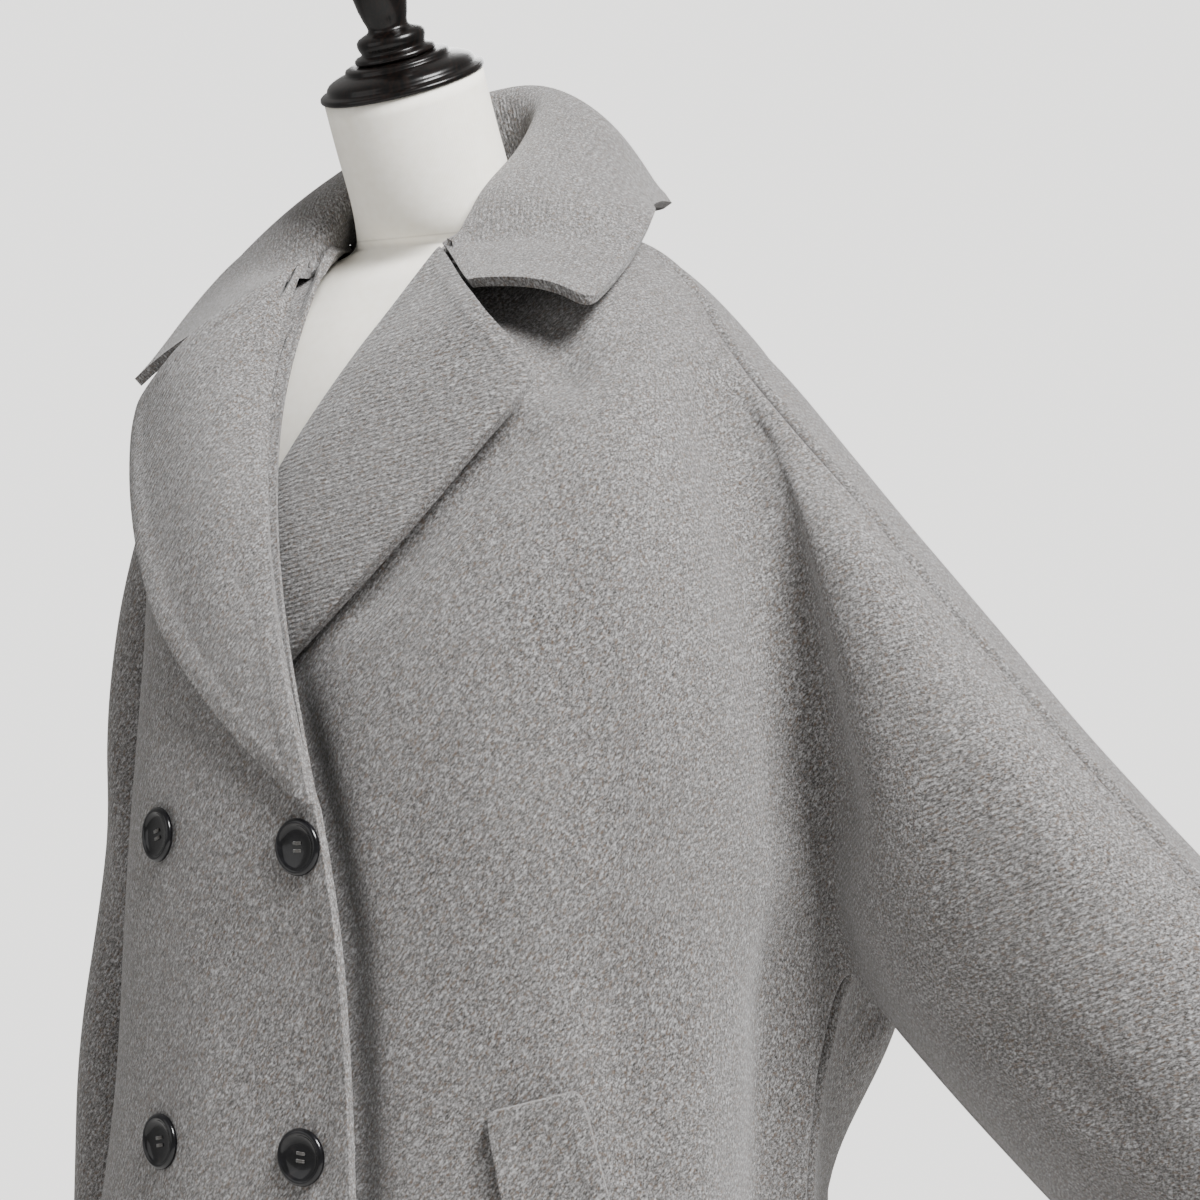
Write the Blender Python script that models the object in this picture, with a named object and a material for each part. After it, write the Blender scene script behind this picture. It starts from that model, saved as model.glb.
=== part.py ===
"""An oversized double-breasted tent coat in thick wool, worn by a limbless dress form on a turned stand.

Metres, +Z up. The front faces -Y and the wearer's left is +X. The origin is on the floor, under the
stand's pole. Each body panel is a sheet of columns. Above the underarm level a column is a Bezier curve
from a foot point to the shoulder or overarm seam; below that level, another one runs from the same foot
point down to the hem. A table per panel holds one row for each shaping column, and smooth curves through
the rows give the columns between them.
"""

import math

import bpy
import numpy as np
from mathutils import Matrix, Vector
from mathutils.bvhtree import BVHTree

# Cloth
WALL = 0.003
SEAM_GAP = 0.0003
SHARP_TRIM = 12
SHARP_ANGLE = math.radians(40)
RAY_START = 0.03
COLLAR_THICK = 0.0050
LAPEL_THICK = 0.005
WELT_THICK = 0.0045
WELT_CLEAR = {"left": 0.0023, "right": 0.0017}
WELT_COLUMNS = 8
WELT_ROWS = 7

# Levels
HEM_Z = 0.36
NECK_POINT = (0.078, 0.0, 1.445)
NAPE = (0.0, 0.070, 1.470)
BACK_NECK = ((0.034, 0.062, 1.466), (0.062, 0.040, 1.456))
ROLL_TOP = (0.050, -0.062, 1.433)

# Columns and rows of a body panel. Each table column is split in two.
COLUMN_SPLIT = 2
NORMAL_STEP = 0.05
FRONT_NECK_COLUMNS = 2
BACK_NECK_COLUMNS = 3
SHOULDER_COLUMNS = 8
SLEEVE_COLUMNS = 8
UPPER_ROWS = 10
LOWER_ROWS = 7

# Buttons, as x and z of their middle
BUTTON_SIDES = 24
BUTTON_RINGS = (0.0, 0.008, 0.015, 0.017)
HOLES = 4
HOLE_RADIUS = 0.0013
HOLE_SPREAD = 0.0032
HOLE_SIDES = 8
PROBES = 16
BUTTON_CLEAR = 0.0004
BUTTON_PLACES = {
    "button_top_left": (0.066, 1.056),
    "button_top_right": (-0.056, 1.056),
    "button_low_left": (0.067, 0.875),
    "button_low_right": (-0.048, 0.870),
}

# Dress form and stand
NECK_LEAN = math.radians(25)
CAP_CENTRE = (0.0, -0.045, 1.534)
TORSO_BOTTOM_Z = 0.760
CHEST_Z = 1.20
SHOULDER_LOW = 1.30
SHOULDER_HIGH = 1.46
SHOULDER_TOP = 1.40
POLE_RADIUS = 0.014
BASE_HEIGHT = 0.045
CAP_SIDES = 32
FINIAL_SIDES = 24
POLE_SIDES = 20
BASE_SIDES = 40

# Seams that two panels share, as a foot point, a hem point and the overarm point above them
SIDE_LEFT = {
    "foot": (0.303, 0.0, 0.977), "drop": (-0.022, -0.040, -0.080),
    "hem": (0.360, -0.030), "lift": (-0.060, -0.025, 0.200),
}
SIDE_RIGHT = {
    "foot": (-0.205, 0.030, 0.965), "drop": (0.004, 0.0, -0.100),
    "hem": (-0.315, 0.010), "lift": (0.085, 0.020, 0.250),
}

# Shoulder and overarm seam, one point a shaping column from the neck point to the cuff
SEAM_LEFT = {
    2: NECK_POINT,
    4: (0.125, 0.004, 1.440),
    6: (0.166, 0.0, 1.424),
    8: (0.203, -0.006, 1.392),
    10: (0.235, -0.022, 1.357),
    12: (0.297, -0.040, 1.299),
    14: (0.410, -0.042, 1.178),
    16: (0.530, -0.042, 1.058),
    18: (0.698, -0.044, 0.902),
}
SEAM_RIGHT = {
    2: (-0.078, 0.0, 1.445),
    4: (-0.125, 0.004, 1.440),
    6: (-0.166, 0.0, 1.424),
    8: (-0.203, -0.004, 1.390),
    10: (-0.230, 0.0, 1.346),
    12: (-0.268, 0.010, 1.220),
    14: (-0.290, 0.020, 1.070),
    16: (-0.315, 0.025, 0.900),
    18: (-0.328, 0.030, 0.722),
}

# Underarm seam, one point a shaping column from the underarm to the cuff
UNDERARM_LEFT = {
    10: SIDE_LEFT["foot"],
    12: (0.346, 0.0, 0.935),
    14: (0.405, 0.0, 0.880),
    16: (0.478, -0.003, 0.822),
    18: (0.580, -0.006, 0.764),
}
UNDERARM_RIGHT = {
    10: SIDE_RIGHT["foot"],
    12: (-0.213, 0.035, 0.900),
    14: (-0.222, 0.040, 0.830),
    16: (-0.232, 0.040, 0.770),
    18: (-0.243, 0.040, 0.714),
}

# Body columns: foot on the underarm level, rise up from it, fall from the top, drop down from the foot,
# hem, and lift up from the hem
FRONT_LEFT_BODY = {
    0: {"foot": (-0.092, -0.181, 0.977), "rise": (0.0, -0.008, 0.153),
        "top": ROLL_TOP, "fall": (-0.055, -0.118, -0.163),
        "drop": (0.0, 0.0, -0.20), "hem": (-0.115, -0.216), "lift": (0.005, 0.004, 0.20)},
    2: {"foot": (0.012, -0.200, 0.977), "rise": (0.0, -0.008, 0.22), "fall": (-0.010, -0.135, -0.035),
        "drop": (0.0, -0.002, -0.20), "hem": (0.015, -0.234), "lift": (0.0, 0.008, 0.20)},
    4: {"foot": (0.122, -0.207, 0.977), "rise": (0.0, -0.008, 0.23), "fall": (0.002, -0.155, -0.030),
        "drop": (0.0, -0.002, -0.20), "hem": (0.145, -0.238), "lift": (-0.005, 0.010, 0.20)},
    6: {"foot": (0.212, -0.180, 0.977), "rise": (0.008, -0.010, 0.20), "fall": (0.030, -0.150, -0.030),
        "drop": (-0.002, 0.0, -0.18), "hem": (0.258, -0.205), "lift": (-0.020, 0.010, 0.20)},
    8: {"foot": (0.277, -0.108, 0.977), "rise": (0.012, -0.028, 0.16), "fall": (0.060, -0.130, -0.060),
        "drop": (-0.012, -0.004, -0.15), "hem": (0.337, -0.130), "lift": (-0.030, 0.010, 0.20)},
}
FRONT_RIGHT_BODY = {
    0: {"foot": (0.094, -0.226, 0.977), "rise": (-0.001, -0.022, 0.150),
        "top": (-0.050, -0.062, 1.433),
        "fall": (0.024, -0.140, -0.170),
        "drop": (0.012, 0.0, -0.20), "hem": (0.132, -0.250), "lift": (-0.010, 0.004, 0.20)},
    2: {"foot": (-0.018, -0.225, 0.977), "rise": (0.0, -0.010, 0.22), "fall": (0.010, -0.150, -0.035),
        "drop": (0.0, -0.002, -0.20), "hem": (-0.015, -0.256), "lift": (0.0, 0.008, 0.20)},
    4: {"foot": (-0.100, -0.198, 0.977), "rise": (0.008, 0.0, 0.23), "fall": (0.018, -0.149, -0.030),
        "drop": (0.0, -0.002, -0.20), "hem": (-0.138, -0.240), "lift": (0.010, 0.010, 0.20)},
    6: {"foot": (-0.152, -0.143, 0.977), "rise": (0.009, 0.015, 0.20), "fall": (0.002, -0.120, -0.035),
        "drop": (0.0, 0.0, -0.18), "hem": (-0.232, -0.188), "lift": (0.040, 0.010, 0.20)},
    8: {"foot": (-0.196, -0.068, 0.974), "rise": (0.0, -0.012, 0.15), "fall": (-0.004, -0.090, -0.090),
        "drop": (0.002, 0.002, -0.15), "hem": (-0.290, -0.100), "lift": (0.070, 0.010, 0.20)},
}
BACK_LEFT_BODY = {
    0: {"foot": (0.0, 0.172, 0.977), "rise": (0.0, 0.012, 0.17),
        "top": NAPE, "fall": (0.0, 0.078, -0.055),
        "drop": (0.0, -0.002, -0.20), "hem": (0.0, 0.232), "lift": (0.0, -0.010, 0.20)},
    3: {"foot": (0.066, 0.172, 0.977), "rise": (0.0, 0.012, 0.17), "fall": (0.004, 0.105, 0.004),
        "drop": (0.0, -0.002, -0.20), "hem": (0.075, 0.232), "lift": (0.0, -0.010, 0.20)},
    5: {"foot": (0.132, 0.165, 0.977), "rise": (0.0, 0.012, 0.18), "fall": (0.010, 0.125, -0.006),
        "drop": (0.0, -0.002, -0.20), "hem": (0.160, 0.222), "lift": (-0.005, -0.010, 0.20)},
    7: {"foot": (0.212, 0.142, 0.977), "rise": (0.008, 0.014, 0.17), "fall": (0.030, 0.125, -0.030),
        "drop": (0.0, 0.0, -0.18), "hem": (0.255, 0.188), "lift": (-0.020, -0.010, 0.20)},
    9: {"foot": (0.280, 0.088, 0.972), "rise": (0.012, 0.035, 0.12), "fall": (0.055, 0.120, -0.045),
        "drop": (-0.078, 0.0, -0.12), "hem": (0.320, 0.108), "lift": (-0.075, -0.015, 0.20)},
}
BACK_RIGHT_BODY = {
    0: BACK_LEFT_BODY[0],
    3: {"foot": (-0.056, 0.172, 0.977), "rise": (0.0, 0.012, 0.17), "fall": (-0.004, 0.105, 0.004),
        "drop": (0.0, -0.002, -0.20), "hem": (-0.068, 0.232), "lift": (0.0, -0.010, 0.20)},
    5: {"foot": (-0.112, 0.164, 0.977), "rise": (0.0, 0.012, 0.18), "fall": (-0.010, 0.125, -0.006),
        "drop": (0.0, -0.002, -0.20), "hem": (-0.150, 0.222), "lift": (0.010, -0.010, 0.20)},
    7: {"foot": (-0.162, 0.138, 0.977), "rise": (-0.002, 0.014, 0.17), "fall": (-0.022, 0.125, -0.030),
        "drop": (0.0, 0.0, -0.18), "hem": (-0.232, 0.180), "lift": (0.040, -0.010, 0.20)},
    9: {"foot": (-0.194, 0.094, 0.970), "rise": (-0.002, 0.025, 0.12), "fall": (-0.040, 0.120, -0.045),
        "drop": (0.004, 0.0, -0.12), "hem": (-0.288, 0.108), "lift": (0.070, -0.010, 0.20)},
}

# How the sleeve's cloth leaves the underarm seam (rise) and the overarm seam (fall)
FRONT_LEFT_SLEEVE = {
    10: {"rise": (0.020, -0.075, 0.100), "fall": (0.085, -0.095, -0.080)},
    12: {"rise": (0.015, -0.100, 0.050), "fall": (0.060, -0.088, -0.070)},
    14: {"rise": (0.020, -0.098, 0.030), "fall": (0.050, -0.082, -0.060)},
    16: {"rise": (0.025, -0.088, 0.020), "fall": (0.030, -0.078, -0.045)},
    18: {"rise": (0.030, -0.075, 0.020), "fall": (0.020, -0.070, -0.040)},
}
BACK_LEFT_SLEEVE = {
    11: {"rise": (0.030, 0.075, 0.020), "fall": (0.060, 0.125, -0.010)},
    13: {"rise": (0.010, 0.090, 0.0), "fall": (0.035, 0.135, 0.012)},
    15: {"rise": (0.015, 0.090, 0.0), "fall": (0.030, 0.128, 0.014)},
    17: {"rise": (0.022, 0.082, 0.0), "fall": (0.024, 0.118, 0.014)},
    19: {"rise": (0.026, 0.072, 0.0), "fall": (0.020, 0.106, 0.010)},
}
FRONT_RIGHT_SLEEVE = {
    10: {"rise": (-0.012, -0.060, 0.080), "fall": (-0.008, -0.080, -0.070)},
    12: {"rise": (-0.010, -0.088, 0.030), "fall": (-0.020, -0.090, -0.030)},
    14: {"rise": (-0.010, -0.090, 0.020), "fall": (-0.006, -0.088, -0.020)},
    16: {"rise": (-0.010, -0.100, 0.010), "fall": (-0.010, -0.100, -0.010)},
    18: {"rise": (-0.008, -0.096, 0.0), "fall": (-0.008, -0.096, 0.0)},
}
BACK_RIGHT_SLEEVE = {
    11: {"rise": (-0.015, 0.060, 0.040), "fall": (-0.040, 0.130, -0.020)},
    13: {"rise": (-0.010, 0.090, 0.0), "fall": (-0.020, 0.120, -0.010)},
    15: {"rise": (-0.010, 0.100, 0.0), "fall": (-0.012, 0.112, -0.010)},
    17: {"rise": (-0.010, 0.104, 0.0), "fall": (-0.010, 0.108, 0.0)},
    19: {"rise": (-0.008, 0.100, 0.0), "fall": (-0.008, 0.100, 0.0)},
}

# Large soft folds. column and half_width count columns; row 0 is the underarm level, row 1 the seam
# above it and row -1 the hem; depth is out of the cloth when positive.
FOLDS = {
    "front_left": [
        {"column": (5.2, 5.6), "half_width": 1.3, "rows": (0.15, -1.3), "depth": -0.012},
        {"column": (6.9, 7.3), "half_width": 1.1, "rows": (0.05, -1.3), "depth": 0.010},
        {"column": (8.7, 8.9), "half_width": 0.9, "rows": (-0.02, -1.3), "depth": -0.014},
        {"column": (2.9, 3.3), "half_width": 1.1, "rows": (-0.35, -1.3), "depth": 0.008},
        {"column": (10.3, 8.6), "half_width": 1.0, "rows": (-0.05, 0.95), "depth": -0.008},
    ],
    "front_right": [
        {"column": (3.6, 4.0), "half_width": 1.1, "rows": (-0.20, -1.3), "depth": -0.010},
        {"column": (5.6, 6.0), "half_width": 1.2, "rows": (-0.15, -1.3), "depth": 0.010},
        {"column": (7.8, 8.2), "half_width": 1.1, "rows": (-0.10, -1.3), "depth": -0.014},
        {"column": (10.3, 8.9), "half_width": 1.0, "rows": (-0.02, 0.9), "depth": -0.008},
    ],
    "back_left": [
        {"column": (2.6, 3.0), "half_width": 1.3, "rows": (0.10, -1.3), "depth": -0.012},
        {"column": (5.0, 5.4), "half_width": 1.2, "rows": (-0.10, -1.3), "depth": 0.012},
        {"column": (7.4, 7.8), "half_width": 1.1, "rows": (0.0, -1.3), "depth": -0.014},
        {"column": (9.9, 9.6), "half_width": 1.2, "rows": (0.12, -0.30), "depth": 0.036},
        {"column": (11.3, 9.6), "half_width": 1.0, "rows": (0.0, 0.9), "depth": -0.009},
    ],
    "back_right": [
        {"column": (2.9, 3.2), "half_width": 1.2, "rows": (0.05, -1.3), "depth": -0.010},
        {"column": (5.3, 5.7), "half_width": 1.2, "rows": (-0.12, -1.3), "depth": 0.012},
        {"column": (8.0, 8.4), "half_width": 1.1, "rows": (-0.05, -1.3), "depth": -0.014},
        {"column": (11.3, 9.7), "half_width": 1.0, "rows": (0.0, 0.9), "depth": -0.008},
    ],
}

# Collar, one row from the left notch to the centre back. stance is the neck seam, roll the fold and edge
# the free edge.
COLLAR_LEFT = [
    {"stance": "notch", "roll": None, "edge": (0.194, -0.118, 1.376)},
    {"stance": "gorge", "roll": None, "edge": (0.190, -0.090, 1.390)},
    {"stance": "roll_top", "roll": None, "edge": (0.184, -0.055, 1.412)},
    {"stance": "neck", "roll": (0.059, -0.043, 1.462), "edge": (0.176, -0.022, 1.434)},
    {"stance": NECK_POINT, "roll": (0.058, 0.002, 1.498), "edge": (0.165, 0.018, 1.455)},
    {"stance": BACK_NECK[1], "roll": (0.044, 0.052, 1.538), "edge": (0.146, 0.070, 1.468)},
    {"stance": BACK_NECK[0], "roll": (0.024, 0.076, 1.555), "edge": (0.090, 0.138, 1.474)},
    {"stance": NAPE, "roll": (0.0, 0.083, 1.560), "edge": (0.0, 0.166, 1.476)},
]
COLLAR_RIGHT_TIP_SHIFT = (0.022, 0.0, -0.016)
STAND_STEPS = 4
FALL_STEPS = 5
FALL_ARCH = np.array((0.0, 0.0, 0.16))
COLLAR_SAMPLES = 3
COLLAR_CLEAR = 0.0022
COLLAR_NECK_SHIFT = np.array((0.0, -0.0020, 0.0015))
COLLAR_BACK_SHIFT = np.array((0.0, 0.0, 0.0012))

# Lapels, one row from the break point up to the top edge: the panel's row at the fold, the free edge's
# column and row, and how far that edge stands off the front
LAPEL_LEFT = [
    {"fold_row": 0.22, "edge": (0.6, 0.22), "off": 0.000},
    {"fold_row": 0.36, "edge": (1.7, 0.27), "off": 0.001},
    {"fold_row": 0.50, "edge": (2.8, 0.33), "off": 0.002},
    {"fold_row": 0.64, "edge": (3.7, 0.41), "off": 0.003},
    {"fold_row": 0.78, "edge": (4.5, 0.50), "off": 0.004},
    {"fold_row": 0.90, "edge": (5.1, 0.57), "off": 0.005},
    {"fold_row": 0.985, "edge": (5.3, 0.62), "off": 0.006},
]
LAPEL_RIGHT = [
    {"fold_row": 0.24, "edge": (0.3, 0.235), "off": 0.000},
    {"fold_row": 0.34, "edge": (1.3, 0.255), "off": 0.003},
    {"fold_row": 0.47, "edge": (2.5, 0.30), "off": 0.007},
    {"fold_row": 0.61, "edge": (3.6, 0.39), "off": 0.012},
    {"fold_row": 0.76, "edge": (4.4, 0.48), "off": 0.017},
    {"fold_row": 0.89, "edge": (5.0, 0.555), "off": 0.020},
    {"fold_row": 0.985, "edge": (5.2, 0.61), "off": 0.020},
]
LAPEL_STEPS = (0.0, 0.10, 0.20, 0.40, 0.60, 0.80, 1.0)
NOTCH_STEP = 4
LAPEL_ROWS = 14
GORGE_SAG = {"left": 0.045, "right": 0.090}
LAPEL_OVERHANG = 0.006
LAPEL_LIFT = 0.009

# Pocket welts by their corners' columns and rows on the front panel
WELT_LEFT = {
    "top_inner": (5.1, -0.12), "top_outer": (6.3, -0.10),
    "low_outer": (7.1, -0.40), "low_inner": (5.8, -0.42),
}
WELT_RIGHT = {
    "top_inner": (6.1, -0.12), "top_outer": (7.3, -0.10),
    "low_outer": (7.9, -0.40), "low_inner": (6.6, -0.42),
}

# Dress form, one row a level: half width, half depth, the ring's middle in y and its tilt in degrees
TORSO_LEVELS = [
    {"z": 0.760, "y": 0.010, "width": 0.148, "depth": 0.104, "tilt": 0},
    {"z": 0.770, "y": 0.010, "width": 0.156, "depth": 0.110, "tilt": 0},
    {"z": 0.840, "y": 0.010, "width": 0.166, "depth": 0.116, "tilt": 0},
    {"z": 0.930, "y": 0.006, "width": 0.150, "depth": 0.104, "tilt": 0},
    {"z": 1.020, "y": 0.000, "width": 0.122, "depth": 0.085, "tilt": 0},
    {"z": 1.120, "y": -0.004, "width": 0.136, "depth": 0.099, "tilt": 0},
    {"z": 1.210, "y": -0.010, "width": 0.154, "depth": 0.115, "tilt": 0},
    {"z": 1.300, "y": -0.002, "width": 0.166, "depth": 0.106, "tilt": 0},
    {"z": 1.358, "y": 0.004, "width": 0.180, "depth": 0.088, "tilt": 0},
    {"z": 1.392, "y": 0.004, "width": 0.184, "depth": 0.066, "tilt": 0},
    {"z": 1.407, "y": 0.004, "width": 0.168, "depth": 0.060, "tilt": 0},
    {"z": 1.418, "y": 0.002, "width": 0.138, "depth": 0.046, "tilt": 0},
    {"z": 1.424, "y": 0.001, "width": 0.092, "depth": 0.044, "tilt": 2},
    {"z": 1.433, "y": 0.000, "width": 0.066, "depth": 0.043, "tilt": 6},
    {"z": 1.448, "y": -0.007, "width": 0.0585, "depth": 0.049, "tilt": 14},
    {"z": 1.472, "y": -0.015, "width": 0.0545, "depth": 0.054, "tilt": 22},
    {"z": 1.500, "y": -0.030, "width": 0.054, "depth": 0.054, "tilt": 25},
    {"z": 1.534, "y": -0.045, "width": 0.054, "depth": 0.054, "tilt": 25},
]
RING_POINTS = 32

# Turned profiles, as radius and height along their own axis
BUTTON_PROFILE = [
    (0.0, 0.0), (0.0150, 0.0), (0.0168, 0.0012), (0.0170, 0.0028), (0.0158, 0.0046), (0.0140, 0.0048),
    (0.0124, 0.0036), (0.0090, 0.0026), (0.0, 0.0024),
]
CAP_PROFILE = [
    (0.0, 0.0), (0.0545, 0.0), (0.0555, 0.0015), (0.0545, 0.0035), (0.0505, 0.0045), (0.0495, 0.0075),
    (0.046, 0.0105), (0.038, 0.0130), (0.0352, 0.0140), (0.0350, 0.0165), (0.029, 0.0180), (0.0, 0.0180),
]
FINIAL_PROFILE = [
    (0.0, 0.0), (0.026, 0.0), (0.0270, 0.0015), (0.0262, 0.0040), (0.0215, 0.0060), (0.0222, 0.0085),
    (0.0230, 0.0120), (0.0215, 0.0150), (0.0150, 0.0180), (0.0135, 0.0205), (0.0150, 0.0260),
    (0.0178, 0.0400), (0.0188, 0.0560), (0.0180, 0.0760), (0.0150, 0.0930), (0.0095, 0.1020),
    (0.0, 0.1045),
]
BASE_PROFILE = [
    (0.0, 0.0), (0.190, 0.0), (0.190, 0.010), (0.180, 0.018), (0.120, 0.026), (0.060, 0.036),
    (0.032, BASE_HEIGHT), (0.0, BASE_HEIGHT),
]


def clear_scene():
    for thing in list(bpy.data.objects):
        bpy.data.objects.remove(thing, do_unlink=True)


def material(name, colour, roughness, metallic=0.0):
    made = bpy.data.materials.new(name)
    made.use_nodes = True
    shader = made.node_tree.nodes["Principled BSDF"]
    shader.inputs["Base Color"].default_value = (*colour, 1.0)
    shader.inputs["Roughness"].default_value = roughness
    shader.inputs["Metallic"].default_value = metallic
    return made


def solid(name, points, faces, finish, smooth_shading=True):
    mesh = bpy.data.meshes.new(name)
    mesh.from_pydata([tuple(map(float, point)) for point in points], [], faces)
    mesh.update()
    if smooth_shading:
        mesh.shade_smooth()
        mesh.set_sharp_from_angle(angle=SHARP_ANGLE)
    mesh.materials.append(finish)
    made = bpy.data.objects.new(name, mesh)
    bpy.context.scene.collection.objects.link(made)
    return made


def through(rows, at):
    """A smooth curve through {place: point}, read at one place."""
    keys = sorted(rows)
    points = [np.array(rows[key], float) for key in keys]
    at = min(max(at, keys[0] - 0.5), keys[-1])
    index = int(np.clip(np.searchsorted(keys, at, side="right") - 1, 0, len(keys) - 2))

    def slope(i):
        low, high = max(i - 1, 0), min(i + 1, len(keys) - 1)
        return (points[high] - points[low]) / (keys[high] - keys[low])

    span = keys[index + 1] - keys[index]
    t = (at - keys[index]) / span
    return (
        (2 * t**3 - 3 * t**2 + 1) * points[index]
        + (t**3 - 2 * t**2 + t) * span * slope(index)
        + (3 * t**2 - 2 * t**3) * points[index + 1]
        + (t**3 - t**2) * span * slope(index + 1)
    )


def bezier(start, start_pull, end, end_pull, t):
    second, third = start + start_pull, end + end_pull
    return (1 - t) ** 3 * start + 3 * t * (1 - t) ** 2 * second + 3 * t**2 * (1 - t) * third + t**3 * end


def ease(x):
    x = min(max(x, 0.0), 1.0)
    return x * x * (3 - 2 * x)


class Panel:
    """A front or a back, with its half of the sleeve. A place on it is a column and a row."""

    def __init__(self, name, body, sleeve, seam, underarm, side, neck_columns, facing):
        self.name, self.neck, self.facing = name, neck_columns, facing
        self.side = neck_columns + SHOULDER_COLUMNS
        self.last = self.side + SLEEVE_COLUMNS
        shift = neck_columns - FRONT_NECK_COLUMNS
        seam = {key + shift: point for key, point in seam.items()}
        self.neck_top = {0: body[0]["top"], self.neck: seam[self.neck]}
        if neck_columns == BACK_NECK_COLUMNS:
            across = math.copysign(1, seam[self.neck][0])
            self.neck_top |= {key: (across * x, y, z) for key, (x, y, z) in enumerate(BACK_NECK, 1)}
        self.shoulder_top = seam
        self.body_foot = {key: row["foot"] for key, row in body.items()} | {self.side: side["foot"]}
        self.sleeve_foot = {key + shift: point for key, point in underarm.items()}
        self.rise = {key: row["rise"] for key, row in (body | sleeve).items()}
        self.fall = {key: row["fall"] for key, row in (body | sleeve).items()}
        lower = body | {self.side: side}
        self.drop = {key: row["drop"] for key, row in lower.items()}
        self.hem = {key: (*row["hem"], HEM_Z) for key, row in lower.items()}
        self.lift = {key: row["lift"] for key, row in lower.items()}
        self.folds = FOLDS[name]

    def plain(self, column, row):
        foot = through(self.body_foot if column <= self.side else self.sleeve_foot, column)
        if row < 0:
            drop, hem, lift = (through(table, column) for table in (self.drop, self.hem, self.lift))
            return bezier(foot, drop, hem, lift, -row)
        top = through(self.neck_top if column <= self.neck else self.shoulder_top, column)
        return bezier(foot, through(self.rise, column), top, through(self.fall, column), row)

    def normal(self, column, row):
        step = NORMAL_STEP
        low_row, high_row = (row - step, row + step) if abs(row) > step else (0.0, step * 2)
        high_row = min(high_row, 1.0)
        across = self.plain(column + step, row) - self.plain(column - step, row)
        up = self.plain(column, high_row) - self.plain(column, low_row)
        found = np.cross(across, up) * self.facing
        return found / np.linalg.norm(found)

    def fold_depth(self, column, row):
        depth = 0.0
        for fold in self.folds:
            start, end = fold["rows"]
            along = (row - start) / (end - start)
            if not 0 < along < 1:
                continue
            middle = fold["column"][0] + (fold["column"][1] - fold["column"][0]) * along
            reach = abs(column - middle) / fold["half_width"]
            if reach < 1:
                swell = ease(along / 0.35) * ease((1 - along) / 0.2)
                depth += fold["depth"] * swell * (0.5 + 0.5 * math.cos(math.pi * reach))
        below = max(row, 0.0) * 5
        side_distance = below if column > self.side else math.hypot(column - self.side, below)
        seam_distance = min((1 - row) * 5, side_distance)
        if self.name.startswith("back"):
            seam_distance = min(seam_distance, column)
        return depth * ease(seam_distance)

    def at(self, column, row, lift=0.0):
        return self.plain(column, row) + self.normal(column, row) * (self.fold_depth(column, row) + lift)

    def cells(self):
        for row in range(-LOWER_ROWS, UPPER_ROWS):
            for column in range((self.side if row < 0 else self.last) * COLUMN_SPLIT):
                yield column, row

    def grid(self):
        """Outer points by column and row step, and the faces between them, facing out."""
        points, faces = {}, []
        for column, row in self.cells():
            ring = [(column, row), (column + 1, row), (column + 1, row + 1), (column, row + 1)]
            faces.append(ring if self.facing > 0 else ring[::-1])
            for i, j in ring:
                rows = LOWER_ROWS if j < 0 else UPPER_ROWS
                points.setdefault((i, j), self.at(i / COLUMN_SPLIT, j / rows))
        return points, faces

    def over(self, tree, column, row, lift):
        """A point lifted off the panel's own flat faces, so that a piece laid on it keeps its gap."""
        out = Vector(self.normal(column, row))
        hit = tree.ray_cast(Vector(self.at(column, row)) + out * RAY_START, -out)[0]
        return np.array(hit + out * lift)


def shared_normals(grids):
    """Point normals that agree where two panels meet, so that their seam faces stay parallel. Their
    length falls below 1 where the cloth turns sharply."""
    leans = {}
    for points, faces in grids:
        for face in faces:
            corners = [points[key] for key in face]
            lean = unit(np.cross(corners[2] - corners[0], corners[3] - corners[1]))
            for corner in corners:
                leans.setdefault(tuple(np.round(corner, 5) + 0.0), []).append(lean)
    means = {place: sum(found) / len(found) for place, found in leans.items()}
    return [
        {key: means[tuple(np.round(point, 5) + 0.0)] for key, point in points.items()}
        for points, _ in grids
    ]


def unit(vector):
    return vector / np.linalg.norm(vector)


def rim_of(faces):
    edges = {}
    for face in faces:
        for start, end in zip(face, face[1:] + face[:1]):
            edges[start, end] = edges.get((start, end), 0) + 1
    return [edge for edge in edges if edge[::-1] not in edges]


def cloth_wall(name, points, faces, normals, thickness, finish, trim=0.0):
    """A closed wall: the outer points, a copy moved in by the thickness, and the rim that joins them."""
    rim = rim_of(faces)
    inward = {}
    for face in faces:
        middle = sum(points[key] for key in face) / len(face)
        for key in face:
            inward[key] = inward.get(key, 0) + middle - points[key]
    along = {}
    for start, end in rim:
        run = unit(points[end] - points[start])
        along.setdefault(start, []).append(run)
        along.setdefault(end, []).append(run)
    order = {key: index for index, key in enumerate(points)}
    outer, inner = [], []
    for key, point in points.items():
        shift = 0
        normal, sharpness = unit(normals[key]), 1 - np.linalg.norm(normals[key])
        if key in along and trim:
            pull = inward[key] - normal * (inward[key] @ normal)
            run = unit(sum(along[key]))
            shift = unit(pull - run * (pull @ run)) * trim * (1 + SHARP_TRIM * sharpness)
        outer.append(point + shift)
        inner.append(point + shift - normal * thickness)
    count = len(outer)
    made = [[order[key] for key in face] for face in faces]
    made += [[order[key] + count for key in reversed(face)] for face in faces]
    made += [[order[end], order[start], order[start] + count, order[end] + count] for start, end in rim]
    return solid(name, outer + inner, made, finish)


def sheet_grid(rows, facing):
    """The points, faces and normals of a plain grid of outer points."""
    points = {(i, j): point for j, row in enumerate(rows) for i, point in enumerate(row)}
    faces = []
    for j in range(len(rows) - 1):
        for i in range(len(rows[0]) - 1):
            ring = [(i, j), (i + 1, j), (i + 1, j + 1), (i, j + 1)]
            faces.append(ring if facing > 0 else ring[::-1])
    return points, faces, shared_normals([(points, faces)])[0]


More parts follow.
